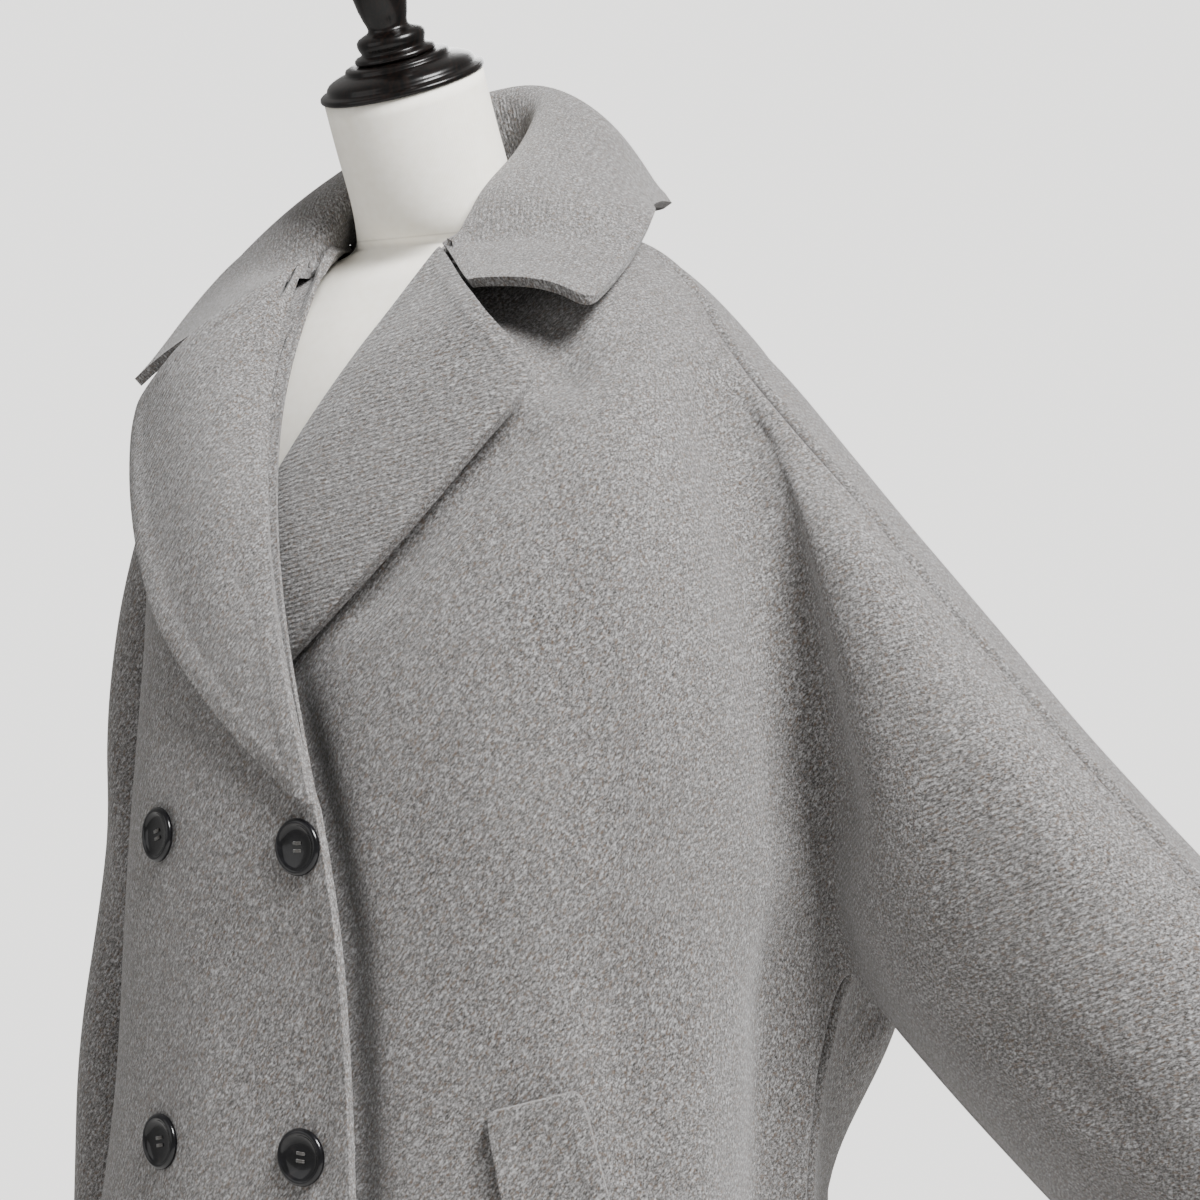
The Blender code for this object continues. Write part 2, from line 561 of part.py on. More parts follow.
def make_panels(finish):
    left = (SEAM_LEFT, UNDERARM_LEFT, SIDE_LEFT)
    right = (SEAM_RIGHT, UNDERARM_RIGHT, SIDE_RIGHT)
    front, back = FRONT_NECK_COLUMNS, BACK_NECK_COLUMNS
    panels = {
        "front_left": Panel("front_left", FRONT_LEFT_BODY, FRONT_LEFT_SLEEVE, *left, front, 1),
        "front_right": Panel("front_right", FRONT_RIGHT_BODY, FRONT_RIGHT_SLEEVE, *right, front, -1),
        "back_left": Panel("back_left", BACK_LEFT_BODY, BACK_LEFT_SLEEVE, *left, back, -1),
        "back_right": Panel("back_right", BACK_RIGHT_BODY, BACK_RIGHT_SLEEVE, *right, back, 1),
    }
    grids = [panel.grid() for panel in panels.values()]
    made = {}
    for panel, (points, faces), normals in zip(panels.values(), grids, shared_normals(grids)):
        made[panel.name] = cloth_wall(
            panel.name, points, faces, normals, WALL, finish, trim=SEAM_GAP / 2
        )
    return panels, made


def lapel_rows(panel, table, sag):
    fold = {index: (row["fold_row"],) for index, row in enumerate(table)}
    edge = {index: (*row["edge"], row["off"]) for index, row in enumerate(table)}
    rows = []
    for step in range(LAPEL_ROWS + 1):
        at = step / LAPEL_ROWS * (len(table) - 1)
        fold_row = through(fold, at)[0]
        edge_column, edge_row, off = through(edge, at)
        height = step / LAPEL_ROWS
        line = {}
        for across in (0.0, *LAPEL_STEPS[3:]):
            row = fold_row + (edge_row - fold_row) * across
            row -= sag * height**4 * math.sin(math.pi * across)
            roll = math.sin(math.pi * min(across + 0.12, 1.0)) ** 0.7
            roll *= min(1.0, 0.3 + 1.4 * height)
            lift = LAPEL_THICK + SEAM_GAP + LAPEL_LIFT * roll + off * across**1.5
            line[across] = panel.at(edge_column * across, row, lift)
        line[0.0] = line[0.0] + unit(panel.at(0.0, fold_row) - panel.at(0.6, fold_row)) * LAPEL_OVERHANG
        rows.append([through(line, across) for across in LAPEL_STEPS])
    return rows


def make_collar(lapels, finish):
    stations, seams, seam_leans = [], [], []
    for side, lapel in ((1, lapels["left"]), (-1, lapels["right"])):
        leans = sheet_grid(lapel, side)[2]
        seam = []
        for step in range(NOTCH_STEP, -1, -1):
            lean = leans[step, len(lapel) - 1]
            away = unit(np.cross(lapel[-1][step + 1] - lapel[-1][max(step - 1, 0)], lean)) * -side
            seam.append(lapel[-1][step] + away * COLLAR_CLEAR)
            seam_leans.append(lean)
        seams.append(seam)
        named = {"notch": seam[0], "gorge": seam[NOTCH_STEP // 2], "roll_top": seam[-1]}
        between = (np.array(ROLL_TOP) + np.array(NECK_POINT)) / 2
        named["neck"] = between * (side, 1, 1) + COLLAR_NECK_SHIFT
        half = []
        for index, row in enumerate(COLLAR_LEFT):
            stance = row["stance"]
            if isinstance(stance, str):
                low = named[stance]
            else:
                low = np.array(stance) * (side, 1, 1) + COLLAR_BACK_SHIFT
            edge = np.array(row["edge"]) * (side, 1, 1)
            if side < 0:
                edge = edge + np.array(COLLAR_RIGHT_TIP_SHIFT) * max(0.0, 1 - index / 4)
            if row["roll"] is None:
                roll = low + (edge - low) * 0.12 + (0, 0, 0.003)
            else:
                roll = np.array(row["roll"]) * (side, 1, 1)
            half.append((low, roll, edge))
        stations.append(half)
    left, right = stations
    ring = left + right[-2::-1]
    tables = [{index: row[part] for index, row in enumerate(ring)} for part in range(3)]
    notch = LAPEL_STEPS[NOTCH_STEP]
    start = [2 - 2 * LAPEL_STEPS[NOTCH_STEP - step] / notch for step in range(NOTCH_STEP + 1)]
    ends = len(ring) - 1
    middle = [2 + step / COLLAR_SAMPLES for step in range(1, (ends - 4) * COLLAR_SAMPLES)]
    exact = dict(zip(start, seams[0])) | {ends - place: point for place, point in zip(start, seams[1])}
    rows = []
    for place in start + middle + [ends - place for place in reversed(start)]:
        low, roll, edge = (through(table, place) for table in tables)
        low = exact.get(place, low)
        stand, fall = np.linalg.norm(roll - low), np.linalg.norm(edge - roll)
        over = unit(unit(roll - low) + unit(edge - roll))
        row = []
        for part in range(STAND_STEPS):
            row.append(bezier(low, (roll - low) * 0.35, roll, -over * stand * 0.3, part / STAND_STEPS))
        hang = FALL_ARCH * fall - (edge - roll) * 0.35
        for part in range(FALL_STEPS + 1):
            row.append(bezier(roll, over * fall * 0.18, edge, hang, part / FALL_STEPS))
        rows.append(row)
    points, faces, normals = sheet_grid(rows, 1)
    for step in range(NOTCH_STEP + 1):
        normals[0, step] = seam_leans[step]
        normals[0, len(rows) - 1 - step] = seam_leans[NOTCH_STEP + 1 + step]
    return cloth_wall("collar", points, faces, normals, COLLAR_THICK, finish)


def make_welt(name, panel, wall, corners, clear, finish):
    tree = BVHTree.FromObject(wall, bpy.context.evaluated_depsgraph_get())
    corners = {key: np.array(value) for key, value in corners.items()}
    rows = []
    for up in range(WELT_ROWS + 1):
        v = up / WELT_ROWS
        inner = corners["low_inner"] * (1 - v) + corners["top_inner"] * v
        outer = corners["low_outer"] * (1 - v) + corners["top_outer"] * v
        places = [inner + (outer - inner) * across / WELT_COLUMNS for across in range(WELT_COLUMNS + 1)]
        rows.append([panel.over(tree, *place, WELT_THICK + clear) for place in places])
    return cloth_wall(name, *sheet_grid(rows, panel.facing), WELT_THICK, finish)


def turned(name, profile, sides, finish, axis=(0, 0, 1), place=(0, 0, 0)):
    """A closed turned solid. The profile runs from the lower centre point to the upper one."""
    turn = Vector((0, 0, 1)).rotation_difference(Vector(axis)).to_matrix()
    rings = profile[1:-1]
    points = [Vector((0, 0, profile[0][1]))]
    for radius, height in rings:
        for side in range(sides):
            angle = 2 * math.pi * side / sides
            points.append(Vector((radius * math.cos(angle), radius * math.sin(angle), height)))
    points.append(Vector((0, 0, profile[-1][1])))
    last = len(points) - 1
    faces = []
    for side in range(sides):
        after = (side + 1) % sides
        faces.append([0, 1 + after, 1 + side])
        for ring in range(len(rings) - 1):
            low, high = 1 + ring * sides, 1 + (ring + 1) * sides
            faces.append([low + side, low + after, high + after, high + side])
        top = 1 + (len(rings) - 1) * sides
        faces.append([top + side, top + after, last])
    return solid(name, [turn @ point + Vector(place) for point in points], faces, finish)


def button_mesh(finish):
    disc = turned("button_blank", BUTTON_PROFILE, BUTTON_SIDES, finish)
    for hole in range(HOLES):
        angle = 2 * math.pi * (hole + 0.5) / HOLES
        centre = (HOLE_SPREAD * math.cos(angle), HOLE_SPREAD * math.sin(angle), -0.002)
        pin = [(0.0, 0.0), (HOLE_RADIUS, 0.0), (HOLE_RADIUS, 0.010), (0.0, 0.010)]
        cutter = turned(f"hole_cutter_{hole}", pin, HOLE_SIDES, finish, place=centre)
        cut = disc.modifiers.new(f"hole_{hole}", "BOOLEAN")
        cut.object = cutter
        cut.operation = "DIFFERENCE"
        cut.solver = "EXACT"
    bpy.context.view_layer.update()
    mesh = bpy.data.meshes.new_from_object(disc.evaluated_get(bpy.context.evaluated_depsgraph_get()))
    for thing in [disc] + [bpy.data.objects[f"hole_cutter_{hole}"] for hole in range(HOLES)]:
        bpy.data.objects.remove(thing, do_unlink=True)
    return mesh


def make_buttons(under, finish):
    mesh = button_mesh(finish)
    tree = BVHTree.FromObject(under, bpy.context.evaluated_depsgraph_get())
    ring = BUTTON_RINGS[-2]
    for name, (x, z) in BUTTON_PLACES.items():
        spots = []
        for probe in range(PROBES):
            angle = 2 * math.pi * probe / PROBES
            start = Vector((x + ring * math.cos(angle), -1.0, z + ring * math.sin(angle)))
            spots.append(tree.ray_cast(start, Vector((0, 1, 0)))[0])
        middle = sum(spots, Vector()) / PROBES
        across, up = spots[0] - spots[PROBES // 2], spots[PROBES // 4] - spots[-PROBES // 4]
        axis = across.cross(up).normalized()
        turn = Vector((0, 0, 1)).rotation_difference(axis).to_matrix().to_4x4()
        made = bpy.data.objects.new(name, mesh)
        bpy.context.scene.collection.objects.link(made)
        rest = Matrix.Translation(middle) @ turn
        spots = [(radius, probe) for radius in BUTTON_RINGS for probe in range(PROBES)]
        low = min(lift_off(tree, rest, axis, *spot) for spot in spots)
        made.matrix_world = Matrix.Translation(axis * (BUTTON_CLEAR - low)) @ rest


def lift_off(tree, rest, axis, radius, probe):
    """How far one point of a button's underside is off the cloth."""
    angle = 2 * math.pi * probe / PROBES
    spot = rest @ Vector((radius * math.cos(angle), radius * math.sin(angle), 0.0))
    hit = tree.ray_cast(spot + axis * RAY_START, -axis)[0]
    return (spot - hit).dot(axis) if hit is not None else 1.0


def torso_points():
    points = []
    for level in TORSO_LEVELS:
        tilt = math.radians(level["tilt"])
        for step in range(RING_POINTS):
            angle = 2 * math.pi * step / RING_POINTS
            power = 2 / (2.5 if level["z"] < SHOULDER_TOP else 2.0)
            x = level["width"] * math.copysign(abs(math.cos(angle)) ** power, math.cos(angle))
            deep = level["depth"] * math.copysign(abs(math.sin(angle)) ** power, math.sin(angle))
            y, z = level["y"] + deep * math.cos(tilt), level["z"] + deep * math.sin(tilt)
            points.append(Vector((x, y, z)))
    return points


def make_torso(finish):
    points = torso_points()
    levels = len(TORSO_LEVELS)
    bottom, top = len(points), len(points) + 1
    points.append(Vector((0, TORSO_LEVELS[0]["y"], TORSO_BOTTOM_Z)))
    points.append(Vector((0, TORSO_LEVELS[-1]["y"], TORSO_LEVELS[-1]["z"])))
    faces = []
    for step in range(RING_POINTS):
        after = (step + 1) % RING_POINTS
        faces.append([bottom, after, step])
        for level in range(levels - 1):
            low, high = level * RING_POINTS, (level + 1) * RING_POINTS
            faces.append([low + step, low + after, high + after, high + step])
        last = (levels - 1) * RING_POINTS
        faces.append([last + step, last + after, top])
    return solid("form_torso", points, faces, finish)


def seat_height(torso, panels):
    """How far the form can rise until its shoulders lie a seam's gap under the coat."""
    bpy.context.view_layer.update()
    graph = bpy.context.evaluated_depsgraph_get()
    coat = [BVHTree.FromObject(panel, graph) for panel in panels.values()]
    form = BVHTree.FromObject(torso, graph)
    under, over = [vertex.co for vertex in torso.data.vertices], []
    for panel in panels.values():
        over += [vertex.co for vertex in panel.data.vertices]
    room = []
    for points, trees, sign in ((under, coat, 1), (over, [form], -1)):
        for point in points:
            if SHOULDER_LOW < point.z < SHOULDER_HIGH:
                start = Vector((point.x, point.y, CHEST_Z))
                hits = [tree.ray_cast(start, Vector((0, 0, 1)))[0] for tree in trees]
                room += [sign * (hit.z - point.z) for hit in hits if hit is not None]
    return min(room) - 2 * SEAM_GAP


def main():
    clear_scene()
    wool = material("wool", (0.23, 0.22, 0.21), 0.95)
    horn = material("horn", (0.012, 0.010, 0.009), 0.18)
    cotton = material("cotton", (0.84, 0.81, 0.74), 0.85)
    lacquer = material("lacquer", (0.010, 0.007, 0.006), 0.12)

    panels, walls = make_panels(wool)
    lapels = {}
    for side, table in (("left", LAPEL_LEFT), ("right", LAPEL_RIGHT)):
        panel = panels[f"front_{side}"]
        lapels[side] = lapel_rows(panel, table, GORGE_SAG[side])
        cloth_wall(f"lapel_{side}", *sheet_grid(lapels[side], panel.facing), LAPEL_THICK, wool)
    make_collar(lapels, wool)
    for side, corners in (("left", WELT_LEFT), ("right", WELT_RIGHT)):
        front = f"front_{side}"
        make_welt(f"pocket_welt_{side}", panels[front], walls[front], corners, WELT_CLEAR[side], wool)
    make_buttons(walls["front_right"], horn)

    torso = make_torso(cotton)
    rise = seat_height(torso, walls)
    torso.data.transform(Matrix.Translation((0, 0, rise)))
    lean = Vector((0, -math.sin(NECK_LEAN), math.cos(NECK_LEAN)))
    cap_place = Vector(CAP_CENTRE) + Vector((0, 0, rise)) + lean * SEAM_GAP
    finial_place = cap_place + lean * (CAP_PROFILE[-1][1] + SEAM_GAP)
    turned("neck_cap", CAP_PROFILE, CAP_SIDES, lacquer, axis=lean, place=cap_place)
    turned("finial", FINIAL_PROFILE, FINIAL_SIDES, lacquer, axis=lean, place=finial_place)
    foot, top = BASE_HEIGHT + SEAM_GAP, TORSO_BOTTOM_Z + rise - SEAM_GAP
    pole_profile = [(0, foot), (POLE_RADIUS, foot), (POLE_RADIUS, top), (0, top)]
    turned("stand_pole", pole_profile, POLE_SIDES, lacquer)
    turned("stand_base", BASE_PROFILE, BASE_SIDES, lacquer)


main()
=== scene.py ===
# %% [markdown]
# # A wool tent coat on a dress form
#
# The coat is thick brushed wool, cut wide, with sleeves in one with the body. The solids of the packed
# model give every shape and place. This script dresses them: cloth with turned edges and soft folds,
# turned buttons, a turned and lacquered neck cap, and a cotton-covered form.

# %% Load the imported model
import math

import bmesh
import bpy
import numpy as np
from mathutils import Matrix, Vector, noise
from mathutils.kdtree import KDTree


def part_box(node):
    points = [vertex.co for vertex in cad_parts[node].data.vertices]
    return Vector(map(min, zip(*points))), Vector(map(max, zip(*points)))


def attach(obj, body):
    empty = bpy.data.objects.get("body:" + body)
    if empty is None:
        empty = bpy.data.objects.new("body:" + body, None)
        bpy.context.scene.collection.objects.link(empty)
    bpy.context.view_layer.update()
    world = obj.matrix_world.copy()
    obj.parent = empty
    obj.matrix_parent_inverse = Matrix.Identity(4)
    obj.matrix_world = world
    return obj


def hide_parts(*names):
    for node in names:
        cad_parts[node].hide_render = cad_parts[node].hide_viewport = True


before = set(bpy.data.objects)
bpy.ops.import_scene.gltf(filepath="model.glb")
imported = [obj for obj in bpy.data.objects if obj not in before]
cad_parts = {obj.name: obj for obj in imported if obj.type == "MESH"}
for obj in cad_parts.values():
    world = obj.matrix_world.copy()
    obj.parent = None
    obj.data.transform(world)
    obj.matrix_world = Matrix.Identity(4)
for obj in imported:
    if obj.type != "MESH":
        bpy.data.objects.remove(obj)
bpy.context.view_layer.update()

# %% [markdown]
# ## The camera
#
# The photograph was taken level, at chest height, from the wearer's left front. A long lens keeps the
# near sleeve from growing. Everything after this is judged through this one view first.

# %% Place the camera
CAMERA_PLACE = (1.0410, -1.4106, 1.200)
CAMERA_TURN = math.radians(33)
CAMERA_LENS = 78.2
SENSOR_WIDTH = 36.0

camera_data = bpy.data.cameras.new("camera")
camera_data.lens = CAMERA_LENS
camera_data.sensor_width = SENSOR_WIDTH
camera = bpy.data.objects.new("camera", camera_data)
camera.location = CAMERA_PLACE
camera.rotation_euler = (math.radians(90), 0.0, CAMERA_TURN)
bpy.context.scene.collection.objects.link(camera)
bpy.context.scene.camera = camera
print("camera at", CAMERA_PLACE)

# %% [markdown]
# ## Colours and nodes
#
# Hex colours are given as a screen shows them, and Blender wants linear light, so one function
# converts them. Another small function adds a shader node with its values and links, which keeps each
# material short.


# %% Colour and node helpers
def linear(code):
    """A screen colour such as #979594 as linear light."""
    parts = [int(code[start:start + 2], 16) / 255 for start in (1, 3, 5)]
    light = [part / 12.92 if part <= 0.04045 else ((part + 0.055) / 1.055) ** 2.4 for part in parts]
    return (*light, 1.0)


def add(tree, kind, values=None, links=None, stops=None, **settings):
    """A shader node with its settings, its input values, the sockets that feed it and its ramp's colours."""
    node = tree.nodes.new(kind)
    for name, value in settings.items():
        setattr(node, name, value)
    for name, value in (values or {}).items():
        node.inputs[name].default_value = value
    for name, socket in (links or {}).items():
        tree.links.new(socket, node.inputs[name])
    for index, (place, code) in enumerate(stops or []):
        element = node.color_ramp.elements[index] if index < 2 else node.color_ramp.elements.new(place)
        element.position = place
        element.color = linear(code)
    return node


def new_material(name, **values):
    """A named material with a Principled shader, and its node tree and shader."""
    made = bpy.data.materials.new(name)
    made.use_nodes = True
    shader = made.node_tree.nodes["Principled BSDF"]
    for key, value in values.items():
        shader.inputs[key.replace("_", " ").title().replace("Ior", "IOR")].default_value = value
    return made, made.node_tree, shader


print("helpers ready")

# %% [markdown]
# ## Floor and light
#
# A pale floor, a pale surround and large soft lamps, as in a small studio. The key lamp stands high on
# the wearer's left, so the raised sleeve and the collar are bright and the trough beside the body is
# dark.

# %% Floor and lamps
FLOOR_RADIUS = 3.0
SURROUND_SEEN = 2.85
SURROUND_GLOW = 0.54
floor_material, _, floor_shader = new_material("painted_floor", roughness=0.85)
floor_shader.inputs["Base Color"].default_value = linear("#dcdbd9")
floor_mesh = bpy.data.meshes.new("floor")
floor_shape = bmesh.new()
bmesh.ops.create_circle(floor_shape, cap_ends=True, segments=96, radius=FLOOR_RADIUS)
floor_shape.to_mesh(floor_mesh)
floor_shape.free()
floor_mesh.materials.append(floor_material)
floor = bpy.data.objects.new("floor", floor_mesh)
bpy.context.scene.collection.objects.link(floor)

LAMPS = [
    {"name": "key", "place": (2.3, -0.9, 3.5), "aim": (0.15, 0.0, 1.10), "size": 1.3, "power": 345.0},
    {"name": "fill", "place": (-1.4, -2.8, 1.9), "aim": (0.0, 0.0, 1.10), "size": 2.4, "power": 20.0},
    {"name": "back", "place": (-1.2, 2.6, 2.6), "aim": (0.0, 0.0, 1.20), "size": 2.0, "power": 80.0},
]
for row in LAMPS:
    lamp_data = bpy.data.lights.new(row["name"], "AREA")
    lamp_data.size = row["size"]
    lamp_data.energy = row["power"]
    lamp = bpy.data.objects.new(row["name"], lamp_data)
    lamp.location = row["place"]
    lamp.rotation_euler = (Vector(row["aim"]) - Vector(row["place"])).to_track_quat("-Z", "Y").to_euler()
    bpy.context.scene.collection.objects.link(lamp)

world = bpy.data.worlds.new("surround")
world.use_nodes = True
bpy.context.scene.world = world
surround = world.node_tree.nodes["Background"]
surround.inputs["Color"].default_value = linear("#e3e2e0")
seen = add(world.node_tree, "ShaderNodeLightPath").outputs["Is Camera Ray"]
brightness = add(
    world.node_tree, "ShaderNodeMapRange", {"To Min": SURROUND_GLOW, "To Max": SURROUND_SEEN},
    {"Value": seen},
)
world.node_tree.links.new(brightness.outputs["Result"], surround.inputs["Strength"])
print(len(LAMPS), "lamps")

# %% [markdown]
# ## The wool
#
# Brushed melange wool: fibres of several greys and a few browns are mixed before spinning, the cloth is
# woven in a twill, and its surface is brushed until short fibres stand up. So the colour is a fine mottle
# of flecks, slanted ribs show faintly through it, and grazing light picks up a pale nap. The flecks are
# 1.4 by 3 mm, which is coarser than real fibres but as fine as the picture shows. One attribute turns the
# pattern with each piece's own grain, and another paints shade into the cloth down in its seams, where
# little light reaches. A wave texture of scale 1 repeats every 0.314 m, which gives the scale for a spacing.

# %% Wool material
FIBRE_LENGTH = 0.0030
FIBRE_WIDTH = 0.0014
RIB_SPACING = 0.0031
GRAIN_PIVOT = (0.24, 0.0, 1.30)
WAVE_SPACING = 0.314

wool, tree, shader = new_material(
    "brushed_melange_wool", roughness=0.95, sheen_weight=0.22, sheen_roughness=0.5, specular_ior_level=0.12
)
grain_turn = add(tree, "ShaderNodeAttribute", attribute_name="grain_turn").outputs["Fac"]
place = add(tree, "ShaderNodeTexCoord").outputs["Object"]
grain_place = add(
    tree, "ShaderNodeVectorRotate", {"Center": GRAIN_PIVOT}, {"Vector": place, "Angle": grain_turn},
    rotation_type="Y_AXIS",
).outputs["Vector"]
fibre_scale = (1 / FIBRE_LENGTH, 1 / FIBRE_WIDTH, 1 / FIBRE_WIDTH)
fibre_place = add(
    tree, "ShaderNodeMapping", {"Scale": fibre_scale}, {"Vector": grain_place}
).outputs["Vector"]
flecks = add(
    tree, "ShaderNodeTexNoise", {"Scale": 1.0, "Detail": 2.0, "Roughness": 0.6, "Distortion": 0.3},
    {"Vector": fibre_place},
)
fine_shift = {"Location": (7.3, 2.1, 4.4)}
fine_place = add(tree, "ShaderNodeMapping", fine_shift, {"Vector": fibre_place}).outputs["Vector"]
fine_flecks = add(
    tree, "ShaderNodeTexNoise", {"Scale": 1.8, "Detail": 2.0, "Roughness": 0.6}, {"Vector": fine_place}
)
greys = add(
    tree, "ShaderNodeValToRGB", links={"Fac": flecks.outputs["Fac"]},
    stops=((0.32, "#201e1d"), (0.44, "#4f4c4b"), (0.54, "#767474"), (0.68, "#bababb")),
)
fine_greys = add(
    tree, "ShaderNodeValToRGB", links={"Fac": fine_flecks.outputs["Fac"]},
    stops=((0.34, "#272523"), (0.50, "#696765"), (0.66, "#abaaaa")),
)
mottle = add(
    tree, "ShaderNodeMix", {0: 0.45}, {6: greys.outputs["Color"], 7: fine_greys.outputs["Color"]},
    data_type="RGBA",
)
brown_shift = {"Location": (1.7, 9.2, 3.1)}
brown_place = add(tree, "ShaderNodeMapping", brown_shift, {"Vector": fibre_place}).outputs["Vector"]
browns = add(tree, "ShaderNodeTexNoise", {"Scale": 0.9, "Detail": 1.5}, {"Vector": brown_place})
brown_amount = add(
    tree, "ShaderNodeMapRange", {"From Min": 0.55, "From Max": 0.67, "To Max": 0.60},
    {"Value": browns.outputs["Fac"]},
)
with_browns = add(
    tree, "ShaderNodeMix", {7: linear("#5c4a3a")},
    {0: brown_amount.outputs["Result"], 6: mottle.outputs[2]}, data_type="RGBA",
)
cloudy = add(tree, "ShaderNodeTexNoise", {"Scale": 11.0, "Detail": 3.0}, {"Vector": grain_place})
cloud_amount = add(
    tree, "ShaderNodeMapRange", {"From Min": 0.35, "From Max": 0.65, "To Min": 0.0, "To Max": 0.14},
    {"Value": cloudy.outputs["Fac"]},
)
with_clouds = add(
    tree, "ShaderNodeMix", {7: linear("#807e7c")},
    {0: cloud_amount.outputs["Result"], 6: with_browns.outputs[2]}, data_type="RGBA",
)
ribs = add(
    tree, "ShaderNodeTexWave",
    {"Scale": WAVE_SPACING / RIB_SPACING, "Distortion": 1.6, "Detail": 2.0, "Detail Scale": 1.4},
    {"Vector": grain_place}, bands_direction="Z",
)
rib_shade = add(tree, "ShaderNodeMapRange", {"To Min": 0.14, "To Max": 0.0}, {"Value": ribs.outputs["Fac"]})
with_ribs = add(
    tree, "ShaderNodeMix", {7: linear("#3a3837")},
    {0: rib_shade.outputs["Result"], 6: with_clouds.outputs[2]}, data_type="RGBA",
)
# Painted shade: down in each seam, where little light reaches, the colour is darkened towards #1f1d1c.
painted_seam_shade = add(tree, "ShaderNodeAttribute", attribute_name="painted_seam_shade").outputs["Fac"]
with_painted_seam_shade = add(
    tree, "ShaderNodeMix", {7: linear("#1f1d1c")}, {0: painted_seam_shade, 6: with_ribs.outputs[2]}, data_type="RGBA"
)
tree.links.new(with_painted_seam_shade.outputs[2], shader.inputs["Base Color"])
nap_height = add(tree, "ShaderNodeMath", {1: 0.4}, {0: ribs.outputs["Fac"]}, operation="MULTIPLY")
relief = add(
    tree, "ShaderNodeMath", links={0: nap_height.outputs["Value"], 1: fine_flecks.outputs["Fac"]},
    operation="ADD",
)
bump = add(
    tree, "ShaderNodeBump", {"Strength": 0.8, "Distance": 0.0010}, {"Height": relief.outputs["Value"]}
)
tree.links.new(bump.outputs["Normal"], shader.inputs["Normal"])
print(wool.name, len(tree.nodes), "nodes")

# %% [markdown]
# ## The other finishes
#
# The form is covered with plain cotton, a fine over-and-under weave in ivory. The neck cap, finial, pole
# and base are turned beech under a near-black gloss lacquer, so the grain hardly shows and the
# reflections are sharp. The buttons are polyester made to look like dark horn: moulded, polished, with
# soft brown clouds.

# %% Cotton, lacquer and horn
THREAD_SPACING = 0.0007
NECK_SEAM_TILT = math.radians(10)
NECK_SEAM_HEIGHT = 1.424
NECK_SEAM_WIDTH = 0.0009

cotton, tree, shader = new_material(
    "plain_woven_cotton", roughness=0.9, sheen_weight=0.15, specular_ior_level=0.25
)
place = add(tree, "ShaderNodeTexCoord").outputs["Object"]
threads = {"Scale": WAVE_SPACING / THREAD_SPACING, "Distortion": 0.6}
across = add(tree, "ShaderNodeTexWave", threads, {"Vector": place}, bands_direction="X")
upward = add(tree, "ShaderNodeTexWave", threads, {"Vector": place}, bands_direction="Z")
weave = add(
    tree, "ShaderNodeMath", links={0: across.outputs["Fac"], 1: upward.outputs["Fac"]}, operation="MULTIPLY"
)
slubs = add(tree, "ShaderNodeTexNoise", {"Scale": 160.0, "Detail": 3.0}, {"Vector": place})
ivory = add(
    tree, "ShaderNodeValToRGB", links={"Fac": slubs.outputs["Fac"]},
    stops=((0.3, "#f4efe3"), (0.7, "#f9f5eb")),
)
up_neck = (0.0, -math.sin(NECK_SEAM_TILT), math.cos(NECK_SEAM_TILT))
neck_height = add(tree, "ShaderNodeVectorMath", {1: up_neck}, {0: place}, operation="DOT_PRODUCT")
off_seam = add(
    tree, "ShaderNodeMath", {1: NECK_SEAM_HEIGHT}, {0: neck_height.outputs["Value"]},
    operation="SUBTRACT",
)
seam_gap = add(tree, "ShaderNodeMath", links={0: off_seam.outputs["Value"]}, operation="ABSOLUTE")
seam_line = add(
    tree, "ShaderNodeMapRange", {"From Max": NECK_SEAM_WIDTH, "To Min": 0.35, "To Max": 0.0},
    {"Value": seam_gap.outputs["Value"]},
)
with_seam = add(
    tree, "ShaderNodeMix", {7: linear("#a39d8e")},
    {0: seam_line.outputs["Result"], 6: ivory.outputs["Color"]}, data_type="RGBA",
)
tree.links.new(with_seam.outputs[2], shader.inputs["Base Color"])
bump = add(
    tree, "ShaderNodeBump", {"Strength": 0.35, "Distance": 0.0002}, {"Height": weave.outputs["Value"]}
)
tree.links.new(bump.outputs["Normal"], shader.inputs["Normal"])

lacquer, tree, shader = new_material(
    "lacquered_beech", roughness=0.30, coat_weight=0.16, coat_roughness=0.06, specular_ior_level=0.20
)
place = add(tree, "ShaderNodeTexCoord").outputs["Object"]
stretched = add(tree, "ShaderNodeMapping", {"Scale": (1.0, 1.0, 0.12)}, {"Vector": place})
grain = add(
    tree, "ShaderNodeTexNoise", {"Scale": 420.0, "Detail": 4.0, "Roughness": 0.6},
    {"Vector": stretched.outputs["Vector"]},
)
brown_black = add(
    tree, "ShaderNodeValToRGB", links={"Fac": grain.outputs["Fac"]},
    stops=((0.40, "#030303"), (0.72, "#130b08")),
)
tree.links.new(brown_black.outputs["Color"], shader.inputs["Base Color"])
bump = add(
    tree, "ShaderNodeBump", {"Strength": 0.10, "Distance": 0.0002}, {"Height": grain.outputs["Fac"]}
)
tree.links.new(bump.outputs["Normal"], shader.inputs["Normal"])

horn, tree, shader = new_material(
    "polished_polyester_horn", roughness=0.2, coat_weight=0.22, coat_roughness=0.05, specular_ior_level=0.28
)
place = add(tree, "ShaderNodeTexCoord").outputs["Object"]
clouds = add(
    tree, "ShaderNodeTexNoise", {"Scale": 95.0, "Detail": 4.0, "Distortion": 1.4}, {"Vector": place}
)
horn_tones = add(
    tree, "ShaderNodeValToRGB", links={"Fac": clouds.outputs["Fac"]},
    stops=((0.35, "#050506"), (0.60, "#0d0d10"), (0.78, "#221f1e")),
)
tree.links.new(horn_tones.outputs["Color"], shader.inputs["Base Color"])
scratches = add(tree, "ShaderNodeTexNoise", {"Scale": 900.0, "Detail": 2.0}, {"Vector": place})
bump = add(
    tree, "ShaderNodeBump", {"Strength": 0.04, "Distance": 0.0002}, {"Height": scratches.outputs["Fac"]}
)
tree.links.new(bump.outputs["Normal"], shader.inputs["Normal"])

